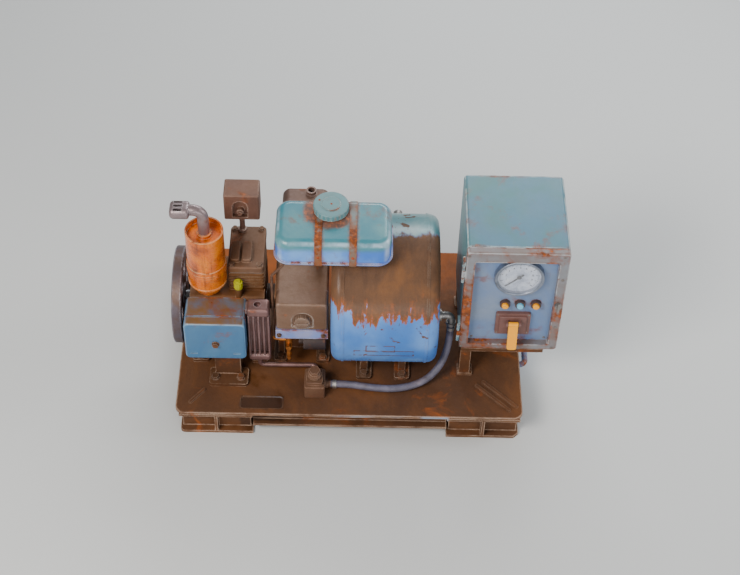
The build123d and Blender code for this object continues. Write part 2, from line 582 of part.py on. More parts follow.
def fuel_tank():
    tank = tank_skin(0) - tank_skin(-2.5)
    outline = [(TANK_X[0] - out, TANK_X[1] + out, TANK_Y[0] - out, TANK_Y[1] + out) for out in (4, -1)]
    seam_z = (TANK_SEAM[0] - 1, TANK_SEAM[1] + 1)
    left, right, front, back = outline[0]
    seam = block((left, right), (front, back), TANK_SEAM, 38)
    left, right, front, back = outline[1]
    seam -= block((left, right), (front, back), seam_z, 33)
    for x in STRAP_AT:
        seam -= block((x - 10, x + 10), (-200, 100), seam_z)
    for solid in seam.solids():
        tank += solid
    tank -= bar((CAP_X, CAP_Y, 560), 16, 20)
    tank -= bar((-170, -112, TANK_Z[0] - 2), 3.5, 6)
    nodes["fuel_tank"] = group(tank, hollow_bar((CAP_X, CAP_Y, TANK_Z[1]), 19, 16, 11))
    cap = hollow_bar((CAP_X, CAP_Y, 577), CAP_R, CAP_R - 4, 13) + bar((CAP_X, CAP_Y, 586), CAP_R, 8)
    cap += hollow_bar((CAP_X, CAP_Y, 577), 22, 19 + RUN_FIT, 9)
    cap = fillet(cap.faces().sort_by(Axis.Z)[-1].edges(), 3)
    cap += fillet(bar((CAP_X, CAP_Y, 594), 24, 2.5).edges().group_by(Axis.Z)[-1], 2)
    for i in range(24):
        turn = math.radians(15 * i)
        x = CAP_X + (CAP_R + 1) * math.cos(turn)
        y = CAP_Y + (CAP_R + 1) * math.sin(turn)
        cap -= bar((x, y, 577), 1.8, 14)
    nodes["fuel_cap"] = cap

    straps = []
    for x in STRAP_AT:
        slab = block((x - STRAP_WIDE / 2, x + STRAP_WIDE / 2), (-160, 40), (480, 600))
        band = (tank_skin(2.2) - tank_skin(0.1)) & slab
        straps.append(band.solids()[0] if hasattr(band, "solids") else band)
    crest = DRUM_Z + DRUM_R
    under = TANK_Z[0] - 2.3
    bars = [block((x - 12, x + 12), (-120, 4), (crest, under)) for x in STRAP_AT]
    post = block((-94, -70), (6, 30), (ENGINE_CASE_Z[1], crest))
    gusset = block((-94, -70), (4, 30), (crest, under))
    nodes["tank_mounting"] = group(*straps, *bars, post, gusset)


# ---------------------------------------------------------------- receiver and delivery

def drum_cylinder(radius, start, long):
    return bar((start, DRUM_Y, DRUM_Z), radius, long, "X")


def receiver():
    shell_x = (DRUM_LEFT + HEAD_LONG, DRUM_RIGHT - HEAD_LONG)
    long = shell_x[1] - shell_x[0]
    shell = drum_cylinder(DRUM_R, shell_x[0], long) - drum_cylinder(DRUM_R - DRUM_WALL, shell_x[0], long)
    shell -= bar((40, 150, DRUM_Z), 16, 40, "Y") + bar((120, 150, DRUM_Z + 30), 9, 40, "Y")
    vessel = [shell, hollow_bar((40, 156, DRUM_Z), 16, 9.3, 26, "Y")]
    for start, outer in ((DRUM_LEFT, 0), (shell_x[1], -1)):
        solid = drum_cylinder(DRUM_R, start, HEAD_LONG)
        solid = fillet(solid.faces().sort_by(Axis.X)[outer].edges(), KNUCKLE)
        hollow_start = start + DRUM_WALL if outer == 0 else start
        hollow = drum_cylinder(DRUM_R - DRUM_WALL, hollow_start, HEAD_LONG - DRUM_WALL)
        hollow = fillet(hollow.faces().sort_by(Axis.X)[outer].edges(), KNUCKLE - DRUM_WALL)
        vessel.append(solid - hollow)
    for x in (shell_x[0] - 3, shell_x[1] - 3):
        vessel.append(drum_cylinder(DRUM_R + 1.6, x, 6) - drum_cylinder(DRUM_R, x, 6))
    nodes["receiver"] = group(*vessel)
    saddles = []
    clear = drum_cylinder(DRUM_R, DRUM_LEFT, DRUM_RIGHT - DRUM_LEFT)
    for x in SADDLE_AT:
        saddles.append(block((x - 9, x + 9), (DRUM_Y - 118, DRUM_Y + 118), (DECK + 8, 172)) - clear)
        saddles.append(drilled(block((x - 20, x + 20), (DRUM_Y - 142, DRUM_Y + 142), (DECK, DECK + 8), 6)))
    nodes["receiver_saddles"] = group(*saddles)
    valve_z = DRUM_Z + 30
    valve = bar((120, 156, valve_z), 9, 16, "Y")
    valve += Pos(120, 172, valve_z) * Rot(-90, 0, 0) * extrude(RegularPolygon(15, 6), 14)
    valve += bar((120, 186, valve_z), 12, 26, "Y") + bar((120, 212, valve_z), 3, 8, "Y")
    elbow_x, elbow_y, hose_top = HOSE_ROUTE[-1]
    elbow_z = hose_top + 36
    path = [(DRUM_RIGHT + 4, elbow_y, elbow_z), (elbow_x, elbow_y, elbow_z), (elbow_x, elbow_y, hose_top)]
    elbow = pipe(path, HOSE_R, 6, 15)
    elbow += hollow_bar((DRUM_RIGHT, elbow_y, elbow_z), 16, 6, 10, "X")
    elbow += hollow_bar((elbow_x, elbow_y, hose_top + 2), 12.5, 6, 10)
    block_x = (-118, -64)
    body = block(block_x, (-236, -170), (DECK, 128), 6) + block((-112, -70), (-228, -178), (128, 138), 6)
    body += bar((-91, -203, 138), 15, 14)
    for z in (140, 145):
        body += bar((-91, -203, z), 18, 2.5)
    body = fillet(body.faces().sort_by(Axis.Y)[0].edges(), 3)
    plug = Pos(-91, -203, 152) * extrude(RegularPolygon(15, 6), 10)
    start_x, start_y, start_z = HOSE_ROUTE[0]
    socket = bar((block_x[1], start_y, start_z), 11.5, 6, "X")
    socket += bar((block_x[1] + 6, start_y, start_z), HOSE_R, 8, "X")
    nodes["receiver_fittings"] = group(elbow, valve)
    nodes["delivery_block"] = group(body, plug, socket)


def hose():
    """The delivery hose: straight runs joined by tangent arcs, as large as the runs allow."""
    points = [Vector(*p) for p in HOSE_ROUTE]
    radii = []
    for before, here, after in zip(points, points[1:], points[2:]):
        turn = math.radians((here - before).get_angle(after - here))
        shorter = min((here - before).length, (after - here).length)
        radii.append(0.45 * shorter / math.tan(turn / 2))
    print("hose radii", [round(r) for r in radii])
    route = FilletPolyline(*points, radius=radii)
    tube = sweep(Plane(route @ 0, z_dir=route % 0) * Circle(HOSE_R), path=route)
    straight_volume = math.pi * HOSE_R**2 * route.length
    print("hose length", round(route.length, 1), "volume ratio", tube.volume / straight_volume)
    nodes["delivery_hose"] = tube


# ---------------------------------------------------------------- cabinet

def cabinet():
    legs = []
    for x, y in LEG_AT:
        angle = block((x - 14, x + 14), (y - 14, y + 14), (DECK + 6, 181))
        legs.append(angle - block((x - 11, x + 15), (y - 11, y + 15), (DECK, 190)))
        legs.append(drilled(block((x - 18, x + 22), (y - 18, y + 18), (DECK, DECK + 6), 4)))
    for y in (-146, 90):
        legs.append(block((286, 500), (y, y + 28), (181, CAB_Z[0]), 3))
    legs.append(block((404, 432), (-118, 90), (181, CAB_Z[0])))
    nodes["cabinet_stand"] = group(*legs)

    outer = block(CAB_X, CAB_Y, CAB_Z, 10, Axis.Y)
    outer = fillet(outer.faces().sort_by(Axis.Y)[-1].edges(), 8)
    inner = block((CAB_X[0] + CAB_WALL, CAB_X[1] - CAB_WALL), (CAB_Y[0] - 1, CAB_Y[1] - CAB_WALL),
                  (CAB_Z[0] + CAB_WALL, CAB_Z[1] - CAB_WALL), 7.5, Axis.Y)
    cabinet_shell = outer - inner

    frame = block(CAB_X, (DOOR_FRONT, DOOR_BACK), CAB_Z, 10, Axis.Y)
    frame = fillet(frame.faces().sort_by(Axis.Y)[0].edges(), 5)
    hole_x = (CAB_X[0] + 22, CAB_X[1] - 24)
    hole_z = (CAB_Z[0] + 20, CAB_Z[1] - 33)
    frame -= block(hole_x, (DOOR_FRONT - 1, DOOR_BACK + 1), hole_z, 5, Axis.Y)
    frame -= bar((LATCH_X, DOOR_FRONT - 1, LATCH_Z), 5 + RUN_FIT, 30, "Y")
    hinge_zs = (CAB_Z[0] + 50, CAB_Z[1] - 90)
    for z in hinge_zs:
        frame += bar((HINGE_X, HINGE_Y, z), HINGE_R, 19)
        frame += block((HINGE_X, CAB_X[0] + 1), (HINGE_Y - 3, HINGE_Y + 3), (z, z + 19))
        frame -= bar((HINGE_X, HINGE_Y, z - 1), HINGE_PIN_R + RUN_FIT, 21)
    nodes["door_frame"] = frame
    leaves = []
    for z in hinge_zs:
        pin = bar((HINGE_X, HINGE_Y, z - 20), HINGE_PIN_R, 60)
        for low in (z - 20, z + 20):
            pin += bar((HINGE_X, HINGE_Y, low), HINGE_R, 19.5)
            pin += block((HINGE_X - 1, CAB_X[0]), (HINGE_Y + 3, CAB_Y[0] + 14), (low, low + 19.5))
            pin += block((HINGE_X - 1, HINGE_X + 1), (HINGE_Y, HINGE_Y + 4), (low, low + 19.5))
        leaves.append(pin)
    nodes["cabinet_body"] = group(cabinet_shell, *leaves)
    panel = block(hole_x, (PANEL_FRONT, DOOR_BACK), hole_z, 5, Axis.Y)
    for x in BUTTONS.values():
        panel -= bar((x, PANEL_FRONT - 1, BUTTON_Z), 3.1, 10, "Y")
    rings = [hollow_bar((x, -138, BUTTON_Z), 13.5, BUTTON_R + 0.1, 9, "Y") for x in BUTTONS.values()]
    nodes["door_panel"] = group(panel, *rings)

    deep = PANEL_FRONT - GAUGE_FRONT
    case = hollow_bar((GAUGE_X, GAUGE_FRONT, GAUGE_Z), GAUGE_R, GAUGE_R - 8, deep, "Y")
    case = fillet(case.edges().filter_by(GeomType.CIRCLE).group_by(Axis.Y)[0], 3)
    case += bar((GAUGE_X, -133, GAUGE_Z), GAUGE_R - 7, 4, "Y")
    nodes["gauge_case"] = case
    nodes["gauge_dial"] = hollow_bar((GAUGE_X, -134.5, GAUGE_Z), GAUGE_R - 8, 2.05, 1.5, "Y")
    nodes["gauge_glass"] = bar((GAUGE_X, -142.5, GAUGE_Z), GAUGE_R - 8, 2, "Y")
    arm = make_face(Polyline((-14, -3), (-14, 3), (46, 0.8), (46, -0.8), (-14, -3)))
    pointer = Rot(90, 0, 0) * Rot(0, 0, NEEDLE_REST) * extrude(arm, 1.2)
    pointer += Pos(0, -0.5, 0) * Rot(-90, 0, 0) * Cylinder(6, 2.5)
    pointer += bar((0, -0.5, 0), 2, 3, "Y")
    nodes["gauge_needle"] = Pos(GAUGE_X, -136.8, GAUGE_Z) * pointer

    for name, x in BUTTONS.items():
        cap = bar((x, -145, BUTTON_Z), BUTTON_R, 11, "Y")
        cap = fillet(cap.faces().sort_by(Axis.Y)[0].edges(), 2.5)
        nodes["button_" + name] = cap + bar((x, -135, BUTTON_Z), 3, 20, "Y")

    box_x = (369, 457)
    base = block(box_x, (-138, PANEL_FRONT), (245, 324), 5, Axis.Y)
    step = block((box_x[0] + 9, box_x[1] - 9), (-143, -138), (254, 316), 4, Axis.Y)
    base = base + fillet(step.faces().sort_by(Axis.Y)[0].edges(), 2)
    for side in (-1, 1):
        x = LEVER_X + side * 16
        lug = block((x - 3, x + 3), (LEVER_Y, -140), (LEVER_Z - 7, LEVER_Z + 7))
        base += lug + bar((x - 3, LEVER_Y, LEVER_Z), 7, 6, "X")
    base += bar((LEVER_X - 18, LEVER_Y, LEVER_Z), 3, 36, "X")
    nodes["switch_box"] = base
    hub = bar((-12, 0, 0), 6.5, 24, "X")
    arm = block((-12, 12), (-3.5, 3.5), (-80, 0), 6, Axis.Y)
    lever = hub + arm - bar((-13, 0, 0), 3 + RUN_FIT, 26, "X")
    nodes["switch_lever"] = Pos(LEVER_X, LEVER_Y, LEVER_Z) * Rot(-LEVER_TILT, 0, 0) * lever

    grip = bar((LATCH_X, -156, LATCH_Z), 9, 8.5, "Y")
    grip += block((LATCH_X - 3, LATCH_X + 3), (-160, -155), (LATCH_Z - 15, LATCH_Z + 15), 2)
    grip += bar((LATCH_X, -150, LATCH_Z), 5, 32, "Y")
    grip += block((LATCH_X - 28, LATCH_X + 4), (-122, -119), (LATCH_Z - 5, LATCH_Z + 5))
    nodes["door_latch"] = grip

    back = block((300, 513), (118, 121), (220, 530))
    parts = [back, block((315, 500), (110, 118), (410, 430)), block((315, 500), (110, 118), (290, 305))]
    for i, (wide, high) in enumerate(((56, 76), (46, 70), (40, 90))):
        x = 320 + 62 * i
        parts.append(block((x, x + wide), (66, 110), (420 - high / 2, 420 + high / 2), 3))
    for i in range(10):
        parts.append(block((330 + 15 * i, 343 + 15 * i), (84, 110), (280, 315)))
    nodes["control_gear"] = group(*parts)


skid()
crank_gear()
compressor()
engine()
fuel_tank()
receiver()
hose()
cabinet()
nodes["fasteners"] = group(*fasteners)
nodes["machine_feet"] = group(*machine_feet)

os.makedirs("parts", exist_ok=True)
for name, shape in nodes.items():
    export_step(shape, f"parts/{name}.step")
print(len(nodes), "nodes")
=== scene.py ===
import math

import bmesh
import bpy
from mathutils import Matrix, Vector


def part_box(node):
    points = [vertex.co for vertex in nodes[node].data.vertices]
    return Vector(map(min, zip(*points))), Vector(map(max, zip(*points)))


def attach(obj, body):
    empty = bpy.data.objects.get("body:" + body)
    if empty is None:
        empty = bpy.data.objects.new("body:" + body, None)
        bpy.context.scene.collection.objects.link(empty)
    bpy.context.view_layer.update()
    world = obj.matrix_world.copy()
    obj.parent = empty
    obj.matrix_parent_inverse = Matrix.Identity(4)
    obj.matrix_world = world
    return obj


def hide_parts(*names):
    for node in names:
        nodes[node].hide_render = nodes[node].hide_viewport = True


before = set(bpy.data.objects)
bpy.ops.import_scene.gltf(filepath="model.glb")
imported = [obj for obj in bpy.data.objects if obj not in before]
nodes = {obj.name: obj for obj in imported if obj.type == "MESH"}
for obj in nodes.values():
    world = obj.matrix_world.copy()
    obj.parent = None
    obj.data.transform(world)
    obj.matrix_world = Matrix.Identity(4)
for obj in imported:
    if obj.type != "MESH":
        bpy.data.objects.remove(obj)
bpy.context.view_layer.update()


# ------------------------------------------------------------------ camera, light and floor

AIM = Vector((0.0478, -0.0373, 0.3))
AIM_DISTANCE = 4.071
YAW = math.radians(0.64)
PITCH = math.radians(48.6)
ROLL = math.radians(1.6)
LENS = 76.6
FLOOR_HALF = 40.0


def camera():
    ahead = Vector((math.sin(YAW) * math.cos(PITCH), math.cos(YAW) * math.cos(PITCH), -math.sin(PITCH)))
    level = Vector((math.cos(YAW), -math.sin(YAW), 0))
    upright = level.cross(ahead)
    right = math.cos(ROLL) * level + math.sin(ROLL) * upright
    up = math.cos(ROLL) * upright - math.sin(ROLL) * level
    data = bpy.data.cameras.new("camera")
    data.lens = LENS
    data.clip_end = 50
    eye = bpy.data.objects.new("camera", data)
    turn = Matrix((right, up, -ahead)).transposed().to_4x4()
    eye.matrix_world = Matrix.Translation(AIM - AIM_DISTANCE * ahead) @ turn
    bpy.context.collection.objects.link(eye)
    bpy.context.scene.camera = eye


def softbox(name, at, size, power, tint=(1, 1, 1), aim=(0, 0, 0.3)):
    data = bpy.data.lights.new(name, "AREA")
    data.shape = "RECTANGLE"
    data.size, data.size_y = size
    data.energy = power
    data.color = tint
    lamp = bpy.data.objects.new(name, data)
    lamp.location = at
    lamp.rotation_euler = (Vector(aim) - Vector(at)).to_track_quat("-Z", "Y").to_euler()
    bpy.context.collection.objects.link(lamp)


def studio():
    world = bpy.data.worlds.new("studio")
    world.use_nodes = True
    back = world.node_tree.nodes["Background"]
    back.inputs["Color"].default_value = (0.82, 0.86, 0.92, 1)
    back.inputs["Strength"].default_value = 0.33
    bpy.context.scene.world = world
    softbox("key", (-1.6, -1.9, 2.6), (1.5, 1.1), 104, (1, 0.97, 0.93))
    softbox("front", (0.9, -3.2, 1.1), (2.6, 1.0), 44, (0.93, 0.96, 1))
    softbox("rim", (0.6, 2.6, 2.2), (2.4, 0.8), 75, (0.9, 0.95, 1))
    softbox("side", (2.6, 0.3, 1.5), (1.0, 1.6), 35)
    mesh = bpy.data.meshes.new("floor")
    turns = [(-1, -1), (1, -1), (1, 1), (-1, 1)]
    mesh.from_pydata([(FLOOR_HALF * x, FLOOR_HALF * y, 0) for x, y in turns], [], [(0, 1, 2, 3)])
    floor = bpy.data.objects.new("floor", mesh)
    bpy.context.collection.objects.link(floor)
    pale = bpy.data.materials.new("pale_floor")
    pale.use_nodes = True
    shader = pale.node_tree.nodes["Principled BSDF"]
    shader.inputs["Base Color"].default_value = (0.62, 0.62, 0.60, 1)
    shader.inputs["Roughness"].default_value = 0.8
    floor.data.materials.append(pale)


# ------------------------------------------------------------------ material building blocks

RICHNESS = 1.14


def colour(red, green, blue):
    """A screen colour, 0 to 255, made linear and a little richer."""
    tone = [(c / 255) ** 2.2 for c in (red, green, blue)]
    grey = sum(tone) / 3
    return tuple(max(0.0, grey + RICHNESS * (c - grey)) for c in tone) + (1.0,)


RUST_DARK = colour(62, 36, 24)
RUST_MID = colour(122, 66, 34)
RUST_ORANGE = colour(186, 98, 42)
GRIME = colour(48, 32, 22)


class Finish:
    """A material's node tree, with short calls for the nodes that the finishes share."""

    def __init__(self, name):
        self.material = bpy.data.materials.new(name)
        self.material.use_nodes = True
        self.tree = self.material.node_tree
        self.shader = self.tree.nodes["Principled BSDF"]
        self.place = self.tree.nodes.new("ShaderNodeTexCoord").outputs["Object"]
        self.geometry = self.tree.nodes.new("ShaderNodeNewGeometry")

    def put(self, socket, value):
        if isinstance(value, bpy.types.NodeSocket):
            self.tree.links.new(value, socket)
        else:
            socket.default_value = value

    def math(self, operation, a, b=0.0):
        node = self.tree.nodes.new("ShaderNodeMath")
        node.operation = operation
        self.put(node.inputs[0], a)
        self.put(node.inputs[1], b)
        return node.outputs[0]

    def plus(self, a, b):
        return self.math("ADD", a, b)

    def minus(self, a, b):
        return self.math("SUBTRACT", a, b)

    def times(self, a, b):
        return self.math("MULTIPLY", a, b)

    def larger(self, a, b):
        return self.math("MAXIMUM", a, b)

    def size_of(self, value):
        return self.math("ABSOLUTE", value)

    def flip(self, value):
        """1 where a mask is 0, and 0 where it is 1."""
        return self.minus(1.0, value)

    def stretch(self, x, y, z, offset=0.0):
        node = self.tree.nodes.new("ShaderNodeMapping")
        node.inputs["Scale"].default_value = (x, y, z)
        node.inputs["Location"].default_value = (offset, offset * 0.7, offset * 1.3)
        self.put(node.inputs["Vector"], self.place)
        return node.outputs[0]

    def noise(self, scale, detail=4.0, rough=0.55, twist=0.0, vector=None, seed=0.0):
        node = self.tree.nodes.new("ShaderNodeTexNoise")
        node.noise_dimensions = "4D"
        self.put(node.inputs["Vector"], vector or self.place)
        node.inputs["W"].default_value = seed
        node.inputs["Scale"].default_value = scale
        node.inputs["Detail"].default_value = detail
        node.inputs["Roughness"].default_value = rough
        node.inputs["Distortion"].default_value = twist
        return node.outputs["Fac"]

    def step(self, value, low, high):
        """0 below low, 1 above high, and smooth between them."""
        node = self.tree.nodes.new("ShaderNodeMapRange")
        node.interpolation_type = "SMOOTHSTEP"
        self.put(node.inputs["Value"], value)
        node.inputs["From Min"].default_value = low
        node.inputs["From Max"].default_value = high
        return node.outputs["Result"]

    def span(self, value, low, high):
        """A value from 0 to 1 turned evenly into one from low to high."""
        node = self.tree.nodes.new("ShaderNodeMapRange")
        self.put(node.inputs["Value"], value)
        node.inputs["To Min"].default_value = low
        node.inputs["To Max"].default_value = high
        return node.outputs["Result"]

    def ramp(self, value, *stops):
        node = self.tree.nodes.new("ShaderNodeValToRGB")
        self.put(node.inputs["Fac"], value)
        line = node.color_ramp.elements
        while len(line) < len(stops):
            line.new(0.5)
        for point, (at, tone) in zip(line, stops):
            point.position = at
            point.color = tone
        return node.outputs["Color"]

    def mix(self, share, a, b):
        node = self.tree.nodes.new("ShaderNodeMix")
        node.data_type = "RGBA"
        self.put(node.inputs["Factor"], share)
        self.put(node.inputs[6], a)
        self.put(node.inputs[7], b)
        return node.outputs[2]

    def axis(self, letter, source=None):
        node = self.tree.nodes.new("ShaderNodeSeparateXYZ")
        self.put(node.inputs[0], source or self.place)
        return node.outputs[letter]

    def up_facing(self):
        return self.step(self.axis("Z", self.geometry.outputs["Normal"]), 0.35, 0.95)

    def edges(self, width):
        """1 on edges and corners within a width in metres, 0 on flat faces."""
        bevel = self.tree.nodes.new("ShaderNodeBevel")
        bevel.samples = 4
        bevel.inputs["Radius"].default_value = width
        dot = self.tree.nodes.new("ShaderNodeVectorMath")
        dot.operation = "DOT_PRODUCT"
        self.put(dot.inputs[0], bevel.outputs["Normal"])
        self.put(dot.inputs[1], self.geometry.outputs["Normal"])
        return self.step(self.flip(dot.outputs["Value"]), 0.004, 0.10)

    def rounded(self):
        """1 on the rounded edges of a box-like form, 0 on its flat faces."""
        square = self.tree.nodes.new("ShaderNodeVectorMath")
        square.operation = "ABSOLUTE"
        self.put(square.inputs[0], self.geometry.outputs["Normal"])
        x, y, z = (self.axis(letter, square.outputs["Vector"]) for letter in "XYZ")
        flat = self.larger(self.larger(x, y), z)
        return self.step(self.flip(flat), 0.07, 0.24)

    def streaks(self, seed):
        """Runs that hang down from above, 0 to 1."""
        return self.noise(1.0, 3, 0.6, 0.3, self.stretch(70, 70, 5, seed), seed)

    def bump(self, height, strength, distance, below=None):
        node = self.tree.nodes.new("ShaderNodeBump")
        node.inputs["Strength"].default_value = strength
        node.inputs["Distance"].default_value = distance
        self.put(node.inputs["Height"], height)
        if below is not None:
            self.put(node.inputs["Normal"], below)
        return node.outputs["Normal"]

    def finish(self, base, rough, normal, metallic=None, coat=0.0):
        self.put(self.shader.inputs["Base Color"], base)
        self.put(self.shader.inputs["Roughness"], rough)
        self.put(self.shader.inputs["Normal"], normal)
        if metallic is not None:
            self.put(self.shader.inputs["Metallic"], metallic)
        self.shader.inputs["Coat Weight"].default_value = coat
        self.shader.inputs["Coat Roughness"].default_value = 0.25
        return self.material


def rust_tone(f, seed):
    grain = f.noise(85, 6, 0.7, 0.4, None, seed + 3)
    return f.ramp(grain, (0.30, RUST_DARK), (0.50, RUST_MID), (0.66, RUST_ORANGE), (0.80,
                                                                                    colour(150, 84, 44)))


def rust_layer(f, base, seed, amount, edge_width, edge_tone=None, streak=0.35, round_wear_and_highlight=0.0):
    """Rust patches, stained rims, runs and rubbed edges over a base colour, with rounded edges made pale as well,
    partly wear and partly painted highlight. Returns colour and rust mask.
    """
    broad = f.noise(7.5, 9, 0.62, 0.7, None, seed)
    fine = f.noise(38, 7, 0.6, 0.3, None, seed + 1)
    field = f.plus(f.times(broad, 0.72), f.times(fine, 0.28))
    cut = 0.66 - 0.22 * amount
    rims = f.edges(edge_width * 2.2)
    worn = f.plus(field, f.times(rims, 0.075))
    patches = f.step(worn, cut, cut + 0.02)
    stain = f.step(worn, cut - 0.075, cut + 0.015)
    runs = f.times(f.step(f.streaks(seed), 0.56, 0.74), f.step(broad, cut - 0.17, cut - 0.01))
    tone = rust_tone(f, seed)
    out = f.mix(f.times(stain, 0.62), base, RUST_MID)
    out = f.mix(f.times(runs, streak), out, RUST_MID)
    if edge_tone is not None:
        patchy = f.step(f.noise(30, 5, 0.6, 0.2, None, seed + 7), 0.30, 0.58)
        rub = f.edges(edge_width)
        # Rounded edges turn pale as well: partly worn paint, partly a painted highlight.
        if round_wear_and_highlight:
            rub = f.larger(rub, f.times(f.rounded(), round_wear_and_highlight))
        out = f.mix(f.times(f.times(rub, patchy), 0.85), out, edge_tone)
    out = f.mix(patches, out, tone)
    return out, patches


def painted(name, paint, faded, seed, amount=0.35, edge_width=0.0035, edge_tone=colour(188, 196, 194),
            dust=colour(120, 104, 84), dust_share=0.3, dust_cut=(0.34, 0.72), gloss=0.34, coat=0.25,
            streak=0.35, round_wear_and_highlight=0.0, over=None):
    """Old paint on steel: faded, dusty on top, chipped to rust, and rubbed pale along its edges; its rounded
    edges can be made pale too, partly wear and partly painted highlight.
    """
    f = Finish(name)
    cloud = f.noise(5.5, 5, 0.6, 0.5, None, seed + 11)
    tone = f.mix(f.step(cloud, 0.36, 0.66), paint, faded)
    mottle = f.noise(55, 5, 0.65, 0.2, None, seed + 12)
    shade = f.mix(0.5, faded, (0.02, 0.02, 0.02, 1))
    tone = f.mix(f.span(mottle, 0.0, 0.34), tone, shade)
    settle = f.times(f.up_facing(), f.step(f.noise(9, 6, 0.65, 0.4, None, seed + 13), *dust_cut))
    tone = f.mix(f.times(settle, dust_share), tone, dust)
    tone, rust = rust_layer(f, tone, seed, amount, edge_width, edge_tone, streak, round_wear_and_highlight)
    if over is not None:
        tone = over(f, tone)
    peel = f.noise(420, 2, 0.5)
    scab = f.noise(230, 6, 0.7, 0.2, None, seed + 15)
    rough = f.mix(rust, f.span(mottle, gloss, gloss + 0.22), f.span(scab, 0.74, 0.95))
    normal = f.bump(peel, 0.10, 0.0004)
    normal = f.bump(f.times(scab, rust), 0.75, 0.0014, normal)
    normal = f.bump(f.flip(rust), 0.6, 0.0007, normal)
    normal = f.bump(f.noise(16, 3, 0.5, 0.2, None, seed + 16), 0.10, 0.004, normal)
    return f.finish(tone, rough, normal, None, coat)


def weathered(name, base, second, seed, edge_tone, edge_width=0.003, rough=(0.5, 0.8), metallic=0.25,
              grain=120, orange=0.2, dust_share=0.25, dust=colour(112, 88, 66)):
    """Bare or oily metal: mottled, grimy in patches, rusted a little and rubbed bright on its edges."""
    f = Finish(name)
    cloud = f.noise(9, 7, 0.65, 0.6, None, seed)
    tone = f.mix(f.step(cloud, 0.32, 0.68), base, second)
    speck = f.noise(grain, 6, 0.7, 0.2, None, seed + 1)
    tone = f.mix(f.span(speck, 0.0, 0.34), tone, GRIME)
    bloom = f.step(f.noise(13, 8, 0.62, 0.5, None, seed + 2), 0.60 - 0.2 * orange, 0.74 - 0.15 * orange)
    tone = f.mix(f.times(bloom, 0.8), tone, rust_tone(f, seed))
    settle = f.times(f.up_facing(), f.step(f.noise(8, 5, 0.6, 0.3, None, seed + 4), 0.35, 0.7))
    tone = f.mix(f.times(settle, dust_share), tone, dust)
    rub = f.times(f.edges(edge_width), f.step(f.noise(26, 5, 0.6, 0.2, None, seed + 5), 0.32, 0.60))
    tone = f.mix(f.times(rub, 0.8), tone, edge_tone)
    dull = f.mix(bloom, f.span(speck, *rough), f.span(speck, 0.8, 0.95))
    normal = f.bump(speck, 0.45, 0.0009)
    normal = f.bump(f.noise(grain * 0.22, 4, 0.6, 0.2, None, seed + 6), 0.35, 0.003, normal)
    shine = f.times(f.flip(bloom), metallic)
    return f.finish(tone, dull, normal, shine)


def turned(name, base, seed, rough=0.3, metallic=1.0):
    """Machined or plated metal with faint lines and a patchy tarnish."""
    f = Finish(name)
    lines = f.noise(1.0, 3, 0.6, 0.0, f.stretch(900, 60, 900), seed)
    film = f.noise(30, 6, 0.65, 0.4, None, seed + 1)
    tone = f.mix(f.step(film, 0.40, 0.75), base, tuple(0.55 * c for c in base[:3]) + (1.0,))
    dull = f.span(film, rough, rough + 0.3)
    return f.finish(tone, dull, f.bump(lines, 0.12, 0.0003), f.span(film, metallic, metallic * 0.85))


def moulded(name, base, seed, rough=0.4, wear=0.3):
    """Moulded plastic or rubber with a fine grain, grime in patches and rubbed edges."""
    f = Finish(name)
    cloud = f.noise(40, 6, 0.65, 0.5, None, seed)
    grime = f.times(f.step(cloud, 0.46, 0.74), wear)
    tone = f.mix(grime, base, GRIME)
    pale = tuple(min(1.0, 1.5 * c + 0.03) for c in base[:3]) + (1.0,)
    tone = f.mix(f.times(f.edges(0.0015), 0.55), tone, pale)
    dull = f.span(cloud, rough, rough + 0.25)
    return f.finish(tone, dull, f.bump(f.noise(700, 3, 0.6), 0.25, 0.0003), None)


# ------------------------------------------------------------------ the object's own finishes

BLUE = colour(66, 112, 178)
BLUE_FADED = colour(110, 148, 202)
TEAL = colour(62, 118, 130)
TEAL_FADED = colour(92, 136, 140)
PALE_EDGE = colour(196, 168, 146)

# The drum: the height its blue ends at, how far that edge wanders, and the outline left by a name-plate.
BLUE_UP_TO = 0.372
WANDER = 0.18
DRIPS = 0.16
TEAL_BEHIND = 0.055
NAMEPLATE_OUTER = (0.010, 0.160, 0.238, 0.262)
NAMEPLATE_INNER = (0.040, 0.112, 0.258, 0.284)
NAMEPLATE_BEFORE = -0.10


def outside(f, letter, low, high):
    """How far a point lies outside a span along one axis, in metres, and below 0 inside it."""
    off = f.size_of(f.minus(f.axis(letter), (low + high) / 2))
    return f.minus(off, (high - low) / 2)


def outline(f, limits, width):
    """1 along a rectangle's border in X and Z, 0 elsewhere."""
    left, right, low, high = limits
    off = f.size_of(f.larger(outside(f, "X", left, right), outside(f, "Z", low, high)))
    return f.flip(f.step(off, width * 0.6, width))


